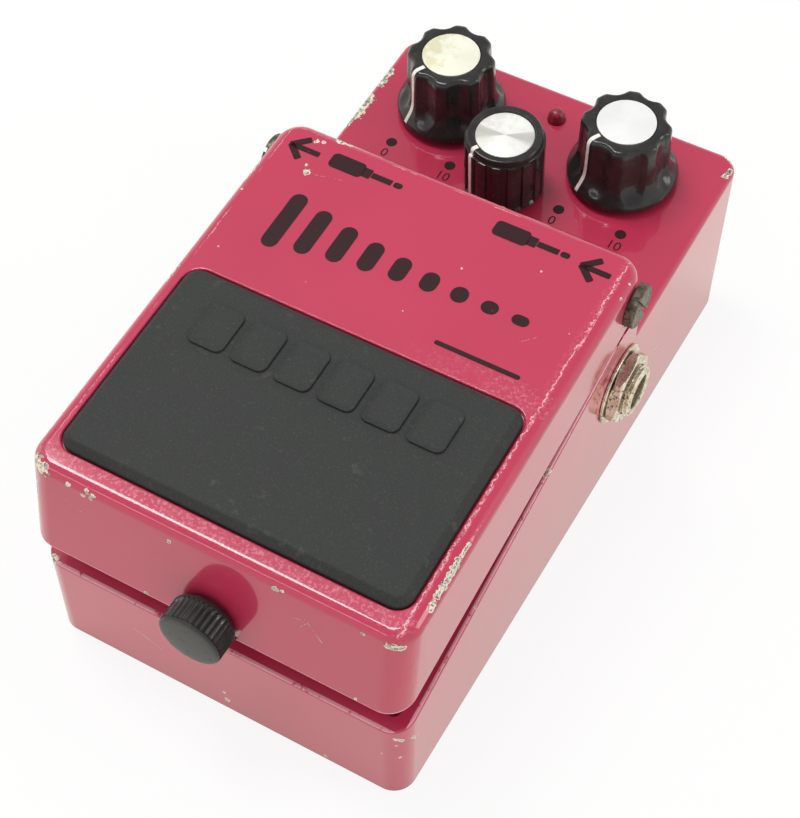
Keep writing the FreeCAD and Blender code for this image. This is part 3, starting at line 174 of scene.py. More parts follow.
# %% A material that is built from signals
class Finish:
    """A material with one Principled shader, and the signals that feed it."""

    def __init__(self, name):
        self.material = bpy.data.materials.new(name)
        self.material.use_nodes = True
        self.tree = self.material.node_tree
        self.tree.nodes.clear()
        self.output = self.tree.nodes.new("ShaderNodeOutputMaterial")
        self.shader = self.tree.nodes.new("ShaderNodeBsdfPrincipled")
        self.tree.links.new(self.shader.outputs[0], self.output.inputs[0])
        place = self.tree.nodes.new("ShaderNodeTexCoord")
        metres = Signal(self.tree, place.outputs["Object"])
        self.place = self.node("ShaderNodeVectorMath", {"operation": "SCALE"}, Vector=metres, Scale=1.0 / MM)
        split = self.tree.nodes.new("ShaderNodeSeparateXYZ")
        self.tree.links.new(self.place.socket, split.inputs[0])
        self.x, self.y, self.z = (Signal(self.tree, split.outputs[i]) for i in range(3))

    def node(self, kind, settings=None, out=0, **values):
        """Any node: its options first, then its inputs as numbers or links."""
        made = self.tree.nodes.new(kind)
        for key, value in (settings or {}).items():
            setattr(made, key, value)
        for key, value in values.items():
            socket = made.inputs[int(key[1:])] if key[0] == "_" else made.inputs[key.replace("_", " ")]
            if isinstance(value, Signal):
                self.tree.links.new(value.socket, socket)
            else:
                socket.default_value = value
        return Signal(self.tree, made.outputs[out])

    def noise(self, per_mm, detail=2.0, roughness=0.5, at=None, seed=0.0):
        """Noise from 0 to 1 with so many features in a millimetre."""
        if seed:
            at = self.node("ShaderNodeVectorMath", {"operation": "ADD"}, _0=at or self.place, _1=(seed,) * 3)
        return self.node("ShaderNodeTexNoise", Vector=at or self.place, Scale=per_mm, Detail=detail,
                         Roughness=roughness)

    def distance(self, point):
        """Distance in millimetres from a point."""
        return self.node("ShaderNodeVectorMath", {"operation": "DISTANCE"}, out=1, _0=self.place, _1=point)

    def mix(self, share, first, second):
        """A colour between two, by a share from 0 to 1."""
        return self.node("ShaderNodeMix", {"data_type": "RGBA"}, out=2, _0=share, _6=first, _7=second)

    def set(self, **values):
        """Set or link the shader's own inputs."""
        for key, value in values.items():
            socket = self.shader.inputs[key.replace("_", " ")]
            if isinstance(value, Signal):
                self.tree.links.new(value.socket, socket)
            else:
                socket.default_value = value
        return self

    def bump(self, height_mm, strength=1.0):
        """Relief from a height in millimetres."""
        relief = self.node("ShaderNodeBump", out=0, Strength=strength, Distance=MM, Height=height_mm)
        self.tree.links.new(relief.socket, self.shader.inputs["Normal"])
        return self


def colour(red, green, blue):
    """A screen colour from 0 to 255 as the shader's linear values."""
    linear = []
    for value in (red, green, blue):
        share = value / 255.0
        linear.append(share / 12.92 if share <= 0.04045 else ((share + 0.055) / 1.055) ** 2.4)
    return (*linear, 1.0)


print("shader tools ready")

# %% [markdown]
# ## Floor, backdrop and light
# The pedal stands on white paper in soft daylight. A bright floor mirrors in the glossy paint, so the floor
# shows white to the camera and a little warmer to reflections, yet still takes a faint shadow. The room is
# brighter near the horizon than overhead, so upright faces shine pale while the top keeps its deep colour. A
# lamp overhead stands where only the treadle's front lip mirrors its edge. A long tube in front and a window
# at the right draw lines along the rounded edges. The light on the pedal itself stays at a plain level, so
# that each colour renders about as it is written.


# %% Floor
def ray_kinds(tree):
    """Whether a ray comes from the camera, from a mirroring surface or through a clear one."""
    rays = tree.nodes.new("ShaderNodeLightPath")
    return [Signal(tree, rays.outputs[f"Is {kind} Ray"]) for kind in ("Camera", "Glossy", "Transmission")]


WHITE = (1.0, 1.0, 1.0, 1.0)
WARM_WHITE = (1.0, 0.99, 0.89, 1.0)
bpy.ops.object.select_all(action="DESELECT")
bpy.ops.mesh.primitive_plane_add(size=6.0, location=(0, 0, -0.00005))
floor = bpy.context.object
floor.name = "floor"
paper = Finish("paper")
paper.set(Base_Color=(0.88, 0.87, 0.845, 1.0), Roughness=0.9, Specular_IOR_Level=0.1)
seen, mirrored_ray, through = ray_kinds(paper.tree)
glow = paper.node("ShaderNodeEmission", Color=paper.mix(mirrored_ray, WHITE, WARM_WHITE), Strength=1.0)
blend = paper.node("ShaderNodeMixShader", _0=(seen * 0.88).most(mirrored_ray * 0.7).most(through * 0.7),
                   _1=Signal(paper.tree, paper.shader.outputs[0]), _2=glow)
paper.tree.links.new(blend.socket, paper.output.inputs[0])
floor.data.materials.append(paper.material)
print("floor", floor.name)

# %% World
world = bpy.data.worlds.new("daylight")
bpy.context.scene.world = world
world.use_nodes = True
tree = world.node_tree
tree.nodes.clear()
seen, mirrored_ray, through = ray_kinds(tree)
direction = tree.nodes.new("ShaderNodeTexCoord")
split = tree.nodes.new("ShaderNodeSeparateXYZ")
tree.links.new(direction.outputs["Generated"], split.inputs[0])
low_sky = 1.0 - Signal(tree, split.outputs["Z"]).ramp(0.05, 0.75)
strength = seen.most(through).most(mirrored_ray * (low_sky * 0.45 + 0.55)).most(low_sky * 0.32 + 0.55)
sky = tree.nodes.new("ShaderNodeBackground")
sky.inputs["Color"].default_value = WHITE
tree.links.new(strength.socket, sky.inputs["Strength"])
world_output = tree.nodes.new("ShaderNodeOutputWorld")
tree.links.new(sky.outputs[0], world_output.inputs[0])
bpy.context.scene.view_settings.view_transform = "Standard"
print("world", world.name)


# %% Soft lamps
def soft_lamp(name, place, aim, width, depth, watts):
    """A rectangular lamp at a place, turned towards a point."""
    data = bpy.data.lights.new(name, "AREA")
    data.shape = "RECTANGLE"
    data.size = width
    data.size_y = depth
    data.energy = watts
    lamp = bpy.data.objects.new(name, data)
    bpy.context.scene.collection.objects.link(lamp)
    lamp.location = place
    lamp.rotation_euler = (Vector(aim) - Vector(place)).to_track_quat("-Z", "Y").to_euler()
    return lamp


soft_lamp("ceiling lamp", (-0.345, 0.075, 1.08), (0, 0, 0.03), 0.28, 0.50, 6.4)
soft_lamp("front tube", (-0.36, -0.96, 0.68), (0, 0, 0.03), 0.75, 0.06, 1.0)
soft_lamp("right window", (1.05, 0.30, 0.60), (0, 0, 0.03), 0.30, 0.70, 2.9)

# %% [markdown]
# ## Modelling helpers
# A piece starts as a primitive, is shaped in edit mode with faces picked by their place, and ends at the
# origin, unturned, with its place in its mesh. An operator works on everything that is selected, so each
# helper first clears the selection.


# %% Selecting
def nothing_selected():
    """Leave edit mode and deselect everything."""
    if bpy.context.mode != "OBJECT":
        bpy.ops.object.mode_set(mode="OBJECT")
    bpy.ops.object.select_all(action="DESELECT")


def only(piece):
    """Make one piece the selected and active one."""
    nothing_selected()
    piece.select_set(True)
    bpy.context.view_layer.objects.active = piece
    return piece


def started(name):
    """Name the primitive that was just added, and bring its place into its mesh."""
    piece = bpy.context.object
    piece.name = name
    piece.data.name = name
    bpy.ops.object.transform_apply(location=True, rotation=True, scale=True)
    return piece


def pick(test, kind="FACE"):
    """In edit mode, pick what passes a test of its place in millimetres and its direction."""
    bpy.ops.mesh.select_mode(type=kind)
    bpy.ops.mesh.select_all(action="DESELECT")
    mesh = bmesh.from_edit_mesh(bpy.context.object.data)
    for part in {"FACE": mesh.faces, "EDGE": mesh.edges, "VERT": mesh.verts}[kind]:
        if kind == "FACE":
            middle, way = part.calc_center_median(), part.normal
        elif kind == "EDGE":
            first, last = part.verts[0].co, part.verts[1].co
            middle, way = (first + last) / 2, (last - first).normalized()
        else:
            middle, way = part.co, part.normal
        if test(middle / MM, way):
            part.select_set(True)
    bmesh.update_edit_mesh(bpy.context.object.data)


def all_picked():
    """Enter edit mode with everything selected."""
    bpy.ops.object.mode_set(mode="EDIT")
    bpy.ops.mesh.select_all(action="SELECT")


def shortened(piece, at, way):
    """Cut off what lies past a plane through a point in millimetres, and close the end."""
    only(piece)
    all_picked()
    bpy.ops.mesh.bisect(plane_co=Vector(at) * MM, plane_no=way, use_fill=True, clear_outer=True)
    bpy.ops.object.mode_set(mode="OBJECT")
    return piece


print("selecting ready")


# %% Finishing
def apply_modifiers(piece):
    """Apply every modifier in order."""
    only(piece)
    for modifier in list(piece.modifiers):
        bpy.ops.object.modifier_apply(modifier=modifier.name)


def bevelled(piece, width, segments=2, angle=30.0):
    """Round the edges that are sharper than an angle."""
    modifier = piece.modifiers.new("round", "BEVEL")
    modifier.width = width * MM
    modifier.segments = segments
    modifier.limit_method = "ANGLE"
    modifier.angle_limit = math.radians(angle)
    modifier.harden_normals = False
    apply_modifiers(piece)


def smooth(piece, angle=35.0, weighted=True):
    """Shade smooth except across sharp edges, with large flat faces kept flat."""
    only(piece)
    bpy.ops.object.shade_smooth_by_angle(angle=math.radians(angle))
    if weighted:
        modifier = piece.modifiers.new("flat faces lead", "WEIGHTED_NORMAL")
        modifier.mode = "FACE_AREA"
        modifier.weight = 80
        modifier.keep_sharp = True
        apply_modifiers(piece)


def settle(piece, place):
    """Put a piece in its place and leave its object at the origin."""
    only(piece)
    piece.matrix_world = place
    bpy.context.view_layer.update()
    bpy.ops.object.transform_apply(location=True, rotation=True, scale=True)
    return piece


def joined(pieces, name):
    """Make several pieces one object."""
    nothing_selected()
    for piece in pieces:
        piece.select_set(True)
    bpy.context.view_layer.objects.active = pieces[0]
    if len(pieces) > 1:
        bpy.ops.object.join()
    pieces[0].name = name
    pieces[0].data.name = name
    return pieces[0]


def twin(piece, name, place=None):
    """A copy with its own mesh, put in its place."""
    copy = bpy.data.objects.new(name, piece.data.copy())
    copy.data.name = name
    bpy.context.scene.collection.objects.link(copy)
    return settle(copy, place) if place else copy


print("finishing ready")


# %% Handing a piece to the frame
def wear(piece, finish):
    """Give a piece one material."""
    piece.data.materials.clear()
    piece.data.materials.append(finish)
    return piece


def take_over(piece, node, finish):
    """The piece rides where a node rides, hides it and takes its finish."""
    wear(piece, finish)
    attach(piece, body_of[node])
    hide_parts(node)
    print(piece.name, "for", node, "faces", len(piece.data.polygons))


def added(piece, body, finish):
    """A piece that stands for no node of its own."""
    wear(piece, finish)
    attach(piece, body)
    print(piece.name, "on", body, "faces", len(piece.data.polygons))


def dress(names, finish):
    """Give carried-over nodes a better material, and leave their mesh alone."""
    for name in names:
        piece = nodes[name]
        if not piece.material_slots:
            piece.data.materials.append(finish)
        for place in piece.material_slots:
            place.material = finish
    print("dressed", *names)


def copy_of(node, name, rounding=0.0, segments=2, angle=30.0):
    """A node's mesh as a new piece: doubles merged, flat facets joined, sharp edges rounded."""
    piece = only(twin(nodes[node], name))
    if piece.data.has_custom_normals:
        bpy.ops.mesh.customdata_custom_splitnormals_clear()
    all_picked()
    bpy.ops.mesh.remove_doubles(threshold=0.003 * MM)
    bpy.ops.mesh.dissolve_limited(angle_limit=math.radians(0.6))
    bpy.ops.object.mode_set(mode="OBJECT")
    if rounding:
        bevelled(piece, rounding, segments, angle)
    smooth(piece)
    return piece


def in_mm(box):
    """A box in millimetres, for printing."""
    return [[round(value / MM, 2) for value in corner] for corner in box]


body_of = {}
for body, members in frame["record"]["behaviour"]["bodies"].items():
    for node in members:
        body_of[node] = body
print("nodes with a body", len(body_of))

# %% [markdown]
# ## Lines of the casting
# Printed marks lie on the treadle's sloping top and on the panel, and the knobs stand square to the panel.
# These few numbers, in millimetres, are the same slopes that the solid model has.

# %% Slopes and frames
WALL_X = 35.0
TREADLE_FRONT = (-62.4, 47.6)
TREADLE_REAR = (18.8, 53.8)
PANEL_FRONT = (18.6, 34.6)
PANEL_REAR = (64.0, 37.6)
RIM_FRONT, RIM_SLOPE = 20.77, 0.2599
SKIRT_FRONT, SKIRT_SLOPE = 29.05, 0.1734
treadle_slope = (TREADLE_REAR[1] - TREADLE_FRONT[1]) / (TREADLE_REAR[0] - TREADLE_FRONT[0])
panel_slope = (PANEL_REAR[1] - PANEL_FRONT[1]) / (PANEL_REAR[0] - PANEL_FRONT[0])


def on_slope(x, y, z, slope, lift, turn=0.0):
    """Frame whose Z stands square to a slope, at a point in millimetres."""
    place = Matrix.Translation(Vector((x, y, z)) * MM) @ Matrix.Rotation(math.atan(slope), 4, "X")
    return place @ Matrix.Translation((0, 0, lift * MM)) @ Matrix.Rotation(math.radians(turn), 4, "Z")


def on_treadle(x, y, lift=0.0, turn=0.0):
    """Frame on the treadle's top."""
    return on_slope(x, y, TREADLE_FRONT[1] + treadle_slope * (y - TREADLE_FRONT[0]), treadle_slope, lift, turn)


def on_panel(x, y, lift=0.0, turn=0.0):
    """Frame on the panel."""
    return on_slope(x, y, PANEL_FRONT[1] + panel_slope * (y - PANEL_FRONT[0]), panel_slope, lift, turn)


print("treadle slope", round(treadle_slope, 4), "panel slope", round(panel_slope, 4))

# %% [markdown]
# ## Pink paint and its wear
# The castings are sprayed with a glossy pink paint over a pale primer. The gloss is smooth on the large faces
# and turns to orange peel along the worn edges of the treadle. Its glitter there is painted: specks are mixed
# paler into the colour as painted glints, and thin pale lines along rounded edges are painted highlights. Years
# of use have knocked chips off the corners, down to the pale primer and, in the deepest, to the bare alloy.
# Each chip is a short stroke with a width, listed by place. Noise and a pattern of cells eat its outline, so
# that it breaks off in angular flakes. One function paints both castings, each with its own chips and
# scratches.

# %% Colours of the paint
PINK = colour(190, 50, 82)
PINK_DEEP = colour(182, 46, 77)
# Painted glints: the pale pink mixed into the worn strips.
PINK_GLINT = colour(236, 160, 174)
# Painted highlight lines along the rounded edges.
PINK_HIGHLIGHT = colour(244, 176, 186)
PRIMER = colour(238, 222, 200)
ALLOY = colour(188, 184, 174)
ALLOY_DARK = colour(92, 86, 78)
# A darker ring round each chip.
CHIP_RING_DARK = colour(96, 40, 46)


def reach(finish, start, end):
    """Distance in millimetres from a stroke between two points."""
    line = Vector(end) - Vector(start)
    if line.length < 1e-6:
        return finish.distance(start)
    from_start = finish.node("ShaderNodeVectorMath", {"operation": "SUBTRACT"}, _0=finish.place, _1=start)
    along = finish.node("ShaderNodeVectorMath", {"operation": "DOT_PRODUCT"}, out=1, _0=from_start,
                        _1=tuple(line / line.length_squared))
    share = along.clipped()
    nearest = finish.node("ShaderNodeVectorMath", {"operation": "SCALE"}, _0=tuple(line), Scale=share)
    return finish.node("ShaderNodeVectorMath", {"operation": "DISTANCE"}, out=1, _0=from_start, _1=nearest)


def cells(finish, per_mm, seed=0.0):
    """A value from 0 to 1 that jumps from cell to cell."""
    at = finish.node("ShaderNodeVectorMath", {"operation": "ADD"}, _0=finish.place, _1=(seed,) * 3)
    tone = finish.node("ShaderNodeTexVoronoi", {"feature": "F1"}, out=1, Vector=at, Scale=per_mm)
    return finish.node("ShaderNodeSeparateXYZ", _0=tone)


def pink_paint(name, chips, scratches, edges):
    """Glossy pink paint, its chips and scratches, and what the function edges adds along worn edges: relief,
    painted glints and painted highlight lines.
    """
    finish = Finish(name)
    broad = finish.noise(0.03, 3.0)
    peel = finish.noise(0.7, 2.0, seed=3.0)
    grit = finish.noise(2.4, 4.0, 0.65, seed=9.0)
    jag = finish.noise(1.7, 5.0, 0.7, seed=31.0)
    flakes = cells(finish, 1.5, 12.0)
    eat = (jag - 0.5) * 1.2 + (flakes - 0.5) * 0.45
    specks = finish.noise(0.30, 8.0, 0.78, seed=57.0)
    nearest = 9.0
    for start, end, radius in chips:
        away = reach(finish, start, end) * (1.0 / radius)
        nearest = away.least(nearest)
    thinnest = 9.0
    for start, end, width in scratches:
        away = reach(finish, start, end) * (0.5 / width)
        thinnest = away.least(thinnest)
    depth = ((specks - 0.79) * 7.0).most(1.0 - nearest + eat).most(0.5 - thinnest + (jag - 0.5) * 1.2)
    bare = depth.ramp(0.33, 0.37)
    metal = (depth + (flakes - 0.5) * 0.5).ramp(0.66, 0.74)
    rim = depth.ramp(0.22, 0.33) - bare
    paint = finish.mix((broad * 2.0 - 0.5).clipped(), PINK, PINK_DEEP)
    peel_height = peel * 0.010
    wear_and_glint, line, lean = edges(finish)
    # Painted glints: specks along the worn strips are mixed towards pale pink in the colour; their relief is
    # real.
    glint_specks = finish.noise(1.5, 5.0, 0.75, seed=101.0).ramp(0.50, 0.60)
    paint = finish.mix(wear_and_glint * glint_specks * 0.34, paint, PINK_GLINT)
    # Painted highlight: thin pale lines along the roundings.
    paint = finish.mix(line, paint, PINK_HIGHLIGHT)
    peel_height = peel_height + wear_and_glint * (grit * 0.085 + peel * 0.06) + line * 0.03 + lean
    # A darker ring round each chip.
    paint = finish.mix(rim * 0.75, paint, CHIP_RING_DARK)
    dirt = finish.noise(2.6, 4.0, 0.62, seed=71.0)
    pale = finish.mix(dirt.ramp(0.52, 0.66) * 0.30, PRIMER, ALLOY)
    silver = finish.mix(dirt.ramp(0.50, 0.60), ALLOY, ALLOY_DARK)
    skin = finish.mix(bare, paint, finish.mix(metal, pale, silver))
    shine = (1.0 - bare).clipped()
    finish.set(Base_Color=skin, Roughness=(0.30 + bare * 0.25 - metal * 0.15).clipped())
    finish.set(Metallic=metal * bare * 0.8, Specular_IOR_Level=0.2)
    finish.set(Coat_Weight=shine, Coat_Roughness=0.06, Coat_IOR=1.5)
    height = peel_height * shine - bare * 0.06 - metal * bare * 0.03 + bare * dirt * 0.09
    finish.bump(height, 1.0)
    return finish.material


def spot(x, y, z, radius):
    """A chip that is about as long as it is wide."""
    return (x, y, z), (x, y, z), radius


print("paint mixed from", [round(c, 3) for c in PINK[:3]])

# %% Paint of the base
base_chips = [
    ((-32.6, -63.3, 21.0), (-33.3, -63.2, 19.4), 1.15), ((33.1, -63.4, 18.7), (34.0, -62.6, 17.9), 0.63),
    ((34.9, -61.0, 17.2), (35.0, -59.6, 15.2), 0.48), spot(33.3, -63.3, 16.6, 0.4),
    spot(33.8, -62.9, 12.4, 0.46), spot(0.6, -64.0, 3.2, 0.92), spot(0.2, -64.0, 5.4, 0.57),
    spot(34.6, -14.6, 33.6, 0.86), spot(34.6, -15.7, 33.3, 0.57),
    ((34.3, 60.4, 37.2), (33.9, 58.9, 37.2), 0.92), ((33.4, 62.7, 37.1), (31.9, 63.6, 37.0), 0.75),
    ((-34.2, 40.2, 35.9), (-34.2, 45.4, 36.3), 1.5), ((-34.2, 49.4, 36.5), (-34.2, 53.2, 36.8), 1.2),
    ((-34.7, 37.0, 35.3), (-34.8, 40.0, 35.4), 1), spot(34.7, -40.1, 26.9, 0.46),
    spot(-22.0, 63.9, 36.7, 1.15), ((12.0, 63.8, 36.8), (14.4, 63.9, 36.7), 0.8),
    ((-34.9, -30.0, 29.4), (-35.0, -27.2, 30.0), 0.92), spot(-35.0, 8.0, 38.4, 1.03),
    spot(35.0, 30.0, 1.2, 1.15), spot(-35.0, 50.0, 1.6, 1.26), spot(31.0, -64.0, 13.0, 0.29),
    spot(-10.0, -64.0, 16.4, 0.34), spot(20.0, -64.0, 1.4, 0.69), spot(34.9, -55.0, 2.0, 0.57),
    spot(34.8, -21.9, 31.7, 0.34),
]
base_scratches = [
    ((35.0, 24.0, 20.0), (35.0, 33.0, 16.5), 0.12), ((-35.0, -20.0, 12.0), (-35.0, -8.0, 15.0), 0.14),
    ((-12.0, -64.0, 9.5), (-17.5, -64.0, 12.0), 0.1), ((9.0, 64.0, 26.0), (18.0, 64.0, 24.0), 0.12),
    ((-30.0, 64.0, 12.0), (-24.0, 64.0, 15.0), 0.12),
]


def crest(finish, front, slope):
    """Painted highlight: a thin bright line along an edge that starts at a height at the very front and runs up
    a slope.
    """
    above = finish.z - (finish.y + 64.0) * slope - front
    broken = finish.noise(0.35, 4.0, 0.7, seed=97.0).ramp(0.34, 0.44)
    return (1.0 - abs(above).ramp(0.06, 0.15)) * broken


def base_edges(finish):
    """A painted highlight: a bright line on the rim's outer crest."""
    outside = abs(finish.x).ramp(34.2, 34.4).most((-finish.y).ramp(63.2, 63.4))
    line = crest(finish, RIM_FRONT, RIM_SLOPE) * outside * (1.0 - finish.y.ramp(16.0, 17.0))
    return 0.0, line * 0.8, 0.0


base_paint = pink_paint("base paint", base_chips, base_scratches, base_edges)
print("base chips", len(base_chips))

# %% Paint of the treadle
treadle_chips = [
    ((-33.4, -61.2, 46.6), (-31.3, -62.3, 46.7), 1.7), ((-34.1, -60.8, 45.7), (-33.9, -61.5, 42.9), 1),
    ((-33.0, -62.4, 42.3), (-33.5, -62.7, 37.9), 0.6), spot(-26.3, -62.5, 46.4, 0.8),
    spot(-22.7, -62.3, 46.8, 0.75), spot(-21.6, -62.4, 46.5, 0.69), spot(-23.4, -62.7, 45.5, 0.63),
    spot(-22.0, -62.7, 45.6, 0.52), spot(-7.3, -62.8, 44.8, 0.69), spot(11.9, -62.6, 45.9, 0.8),
    spot(13.2, -62.6, 46.2, 0.57), spot(27.2, -62.7, 45.6, 0.52),
    ((31.4, -62.6, 45.5), (33.4, -61.6, 45.1), 1), ((34.4, -54.8, 47.4), (34.4, -54.0, 47.5), 0.95),
    ((34.2, -52.6, 47.8), (34.2, -51.2, 47.9), 0.95), ((34.3, -50.4, 47.8), (34.2, -46.0, 48.4), 0.85),
    ((34.2, -45.2, 48.3), (34.2, -42.6, 48.6), 0.5), ((-23.9, 17.6, 53.4), (-22.4, 17.8, 53.3), 1.3),
    spot(-27.4, 15.4, 53.5, 0.8), spot(-26.2, 15.8, 53.6, 0.57), spot(-25.4, 8.5, 53.0, 0.86),
    spot(-26.3, 10.0, 53.0, 0.46), ((-34.2, 3.0, 51.8), (-34.2, 7.4, 52.1), 0.75),
    spot(-33.4, 0.2, 52.2, 0.4), spot(34.2, 9.8, 52.2, 0.52), spot(34.2, 13.2, 52.6, 0.46),
    spot(-33.6, 16.4, 52.9, 0.69), spot(8.4, 2.6, 52.6, 0.25), spot(-13.2, -12.0, 51.4, 0.25),
    ((-34.3, -22.0, 50.0), (-34.3, -19.0, 50.2), 0.69), spot(8.0, 18.3, 52.8, 0.69),
    spot(27.0, -64.9, 29.2, 0.57), spot(-12.0, -65.0, 29.0, 0.52), spot(22.0, -63.9, 30.6, 0.34),
    spot(24.6, -64.5, 31.6, 0.29), spot(35.1, -30.0, 35.3, 0.57), spot(30.2, -1.0, 52.3, 0.25),
    spot(4.0, -9.6, 51.6, 0.23), spot(-30.2, -12.4, 51.3, 0.23), spot(20.4, 8.2, 53.0, 0.29),
    spot(-28.4, 12.6, 53.3, 0.34),
]
treadle_scratches = [
    ((17.2, -63.2, 42.4), (20.6, -63.7, 38.6), 0.12), ((15.0, -63.3, 41.4), (18.6, -63.2, 41.8), 0.08),
    ((18.0, -63.2, 42.0), (16.4, -63.5, 39.8), 0.08), ((-29.0, -63.1, 42.9), (-24.0, -63.3, 41.3), 0.05),
    ((22.0, -8.0, 51.8), (27.0, -3.0, 52.1), 0.05), ((-35.0, -44.0, 40.0), (-35.0, -31.0, 43.0), 0.12),
    ((-24.0, 8.6, 53.0), (-19.0, 9.8, 53.1), 0.05), ((26.0, -13.4, 51.3), (30.0, -12.0, 51.4), 0.07),
]


def treadle_edges(finish):
    """Worn gritty paint beside the pad that also carries painted glints, a broken painted highlight line along
    the roundings, and a lean of the front.
    """
    top = (TREADLE_FRONT[1] - treadle_slope * TREADLE_FRONT[0]) + finish.y * treadle_slope
    below = (top - finish.z).most(0.0)
    flat = 1.0 - below.ramp(0.25, 0.9)
    from_front = finish.y + 62.6
    from_right = 34.85 - finish.x
    from_side = 34.85 - abs(finish.x)
    from_rear = 18.8 - finish.y
    wander = finish.noise(0.9, 5.0, 0.7, seed=83.0) - 0.5
    patchy = finish.noise(0.13, 3.0, seed=91.0)
    front_strip = (1.0 - (from_front + wander * 2.2).ramp(4.0, 5.2)) * from_front.ramp(1.0, 2.0)
    right_strip = (1.0 - (from_right + wander * 1.6).ramp(2.9, 3.8)) * from_right.ramp(1.6, 2.2)
    near_pad = (1.0 - abs(finish.y + 15.6).ramp(1.2, 3.4)) * finish.x.ramp(4.0, 26.0)
    # Where the paint is worn gritty; the same mask lays the painted glints in the colour.
    wear_and_glint = (front_strip.most(right_strip * 0.5).most(near_pad * 0.8) * flat * patchy.ramp(0.22, 0.42)).clipped()
    # Painted highlight lines along the right, left and rear roundings of the top.
    right_highlight = 1.0 - (abs(from_right - 2.3 + wander * 2.6)).ramp(0.06, 0.17)
    left_highlight = (1.0 - (abs(from_side - 2.0 + wander * 0.9)).ramp(0.04, 0.12)) * patchy.ramp(0.45, 0.6)
    rear_highlight = (1.0 - (abs(from_rear - 1.9 + wander * 1.0)).ramp(0.04, 0.12)) * patchy.ramp(0.5, 0.6)
    broken = finish.noise(0.8, 4.0, 0.7, seed=97.0).ramp(0.40, 0.48)
    line = right_highlight.most(left_highlight * 0.6).most(rear_highlight * 0.6) * flat * broken
    line = line.most(crest(finish, SKIRT_FRONT, SKIRT_SLOPE)
                     * from_side.least(finish.y + 65.0).ramp(-2.0, 1.0) * 0.8)
    lean = (from_front.least(5.2).most(2.0) - 5.2) * 0.05
    return wear_and_glint, line, lean


treadle_paint = pink_paint("treadle paint", treadle_chips, treadle_scratches, treadle_edges)
print("treadle chips", len(treadle_chips))

# %% Castings
take_over(copy_of("chassis", "casting", 0.18), "chassis", base_paint)
take_over(copy_of("treadle", "treadle_shell", 0.22), "treadle", treadle_paint)

# %% [markdown]
# ## Turning a piece
# Knobs, nuts and sockets are round. A turned piece starts as a circle, and each further point of its profile
# extrudes that circle and resizes it, as a lathe would leave it. Both ends are closed with a face. Flutes and
# ribs are pressed in afterwards: points get a weight by their angle and height, and those of one weight at a
# time are resized towards the axis.


# %% Turned pieces
def turned(name, profile, count=96, loop=False):
    """Extrude a circle ring by ring along a profile of (radius, height) in millimetres."""
    nothing_selected()
    radius, height = profile[0]
    bpy.ops.mesh.primitive_circle_add(vertices=count, radius=radius * MM, location=(0, 0, height * MM))
    piece = started(name)
    bpy.ops.object.mode_set(mode="EDIT")
    bpy.ops.mesh.select_mode(type="EDGE")
    bpy.ops.mesh.select_all(action="SELECT")
    for new_radius, new_height in profile[1:]:
        bpy.ops.mesh.extrude_region_move(TRANSFORM_OT_translate={"value": (0, 0, (new_height - height) * MM)})
        grow = new_radius / radius
        bpy.ops.transform.resize(value=(grow, grow, 1), center_override=(0, 0, new_height * MM))
        radius, height = new_radius, new_height
    if not loop:
        bpy.ops.mesh.edge_face_add()
        first_radius, first_height = profile[0]
        pick(lambda at, _: abs(at.z - first_height) < 1e-4
             and abs(math.hypot(at.x, at.y) - first_radius) < 1e-3, "VERT")
        bpy.ops.mesh.edge_face_add()
    bpy.ops.mesh.select_all(action="SELECT")
    bpy.ops.mesh.remove_doubles(threshold=0.001 * MM)
    bpy.ops.mesh.normals_make_consistent(inside=False)
    bpy.ops.object.mode_set(mode="OBJECT")
    return piece


def pressed(piece, weight, depth, radius, steps=14):
    """Draw points in towards the axis by a weight from 0 to 1 times a depth, both in millimetres."""
    shares = {point.index: round(weight(point.co / MM) * steps) for point in piece.data.vertices}
    only(piece)
    bpy.ops.object.mode_set(mode="EDIT")
    bpy.ops.mesh.select_mode(type="VERT")
    for step in sorted(set(shares.values()) - {0}):
        bpy.ops.mesh.select_all(action="DESELECT")
        mesh = bmesh.from_edit_mesh(piece.data)
        for point in mesh.verts:
            if shares[point.index] == step:
                point.select_set(True)
        mesh.select_flush_mode()
        bmesh.update_edit_mesh(piece.data)
        inwards = 1.0 - depth * step / steps / radius
        bpy.ops.transform.resize(value=(inwards, inwards, 1), center_override=(0, 0, 0))
    bpy.ops.object.mode_set(mode="OBJECT")


def off_centre(angle, pitch):
    """Distance of an angle from the middle of its pitch, as a share of half the pitch."""
    return abs((angle / pitch) % 1.0 - 0.5) * 2.0


print("turning ready")

# %% [markdown]
# ## Outer knobs
# The two outer knobs are glossy black phenolic with eight scalloped flutes that run out into a flared skirt.
# The flutes make the top's outline wavy and end in rounded petals on the flare. Each knob rests with its
# white line turned towards the front left.

# %% Fluted knob
KNOBS = {"left": (-18.9, 50.1), "middle": (-1.0, 37.4), "right": (16.9, 50.1)}
KNOB_REST = -30.0
KNOB_TOP = 14.4
MIDDLE_TOP = 14.5
WAIST = 6.0
fluted_profile = [
    (9.4, 1.2), (10.05, 1.22), (10.28, 1.4), (10.3, 1.7), (10.27, 2.1), (10.1, 2.5), (9.85, 2.9),
    (9.6, 3.3), (9.36, 3.7), (9.14, 4.1), (8.95, 4.5), (8.79, 4.9), (8.67, 5.3), (8.58, 5.7), (8.52, 6.1),
    (8.48, 6.6), (8.44, 7.4), (8.4, 8.6), (8.34, 10.0), (8.29, 11.4), (8.26, 12.4), (8.25, 13.0),
    (8.22, 13.35), (8.12, 13.72), (7.93, 14.03), (7.66, 14.25), (7.3, 14.37), (6.9, 14.4), (6.4, 14.4),
    (5.85, 14.4), (5.64, 14.36), (5.54, 14.22), (5.5, 13.75),
]


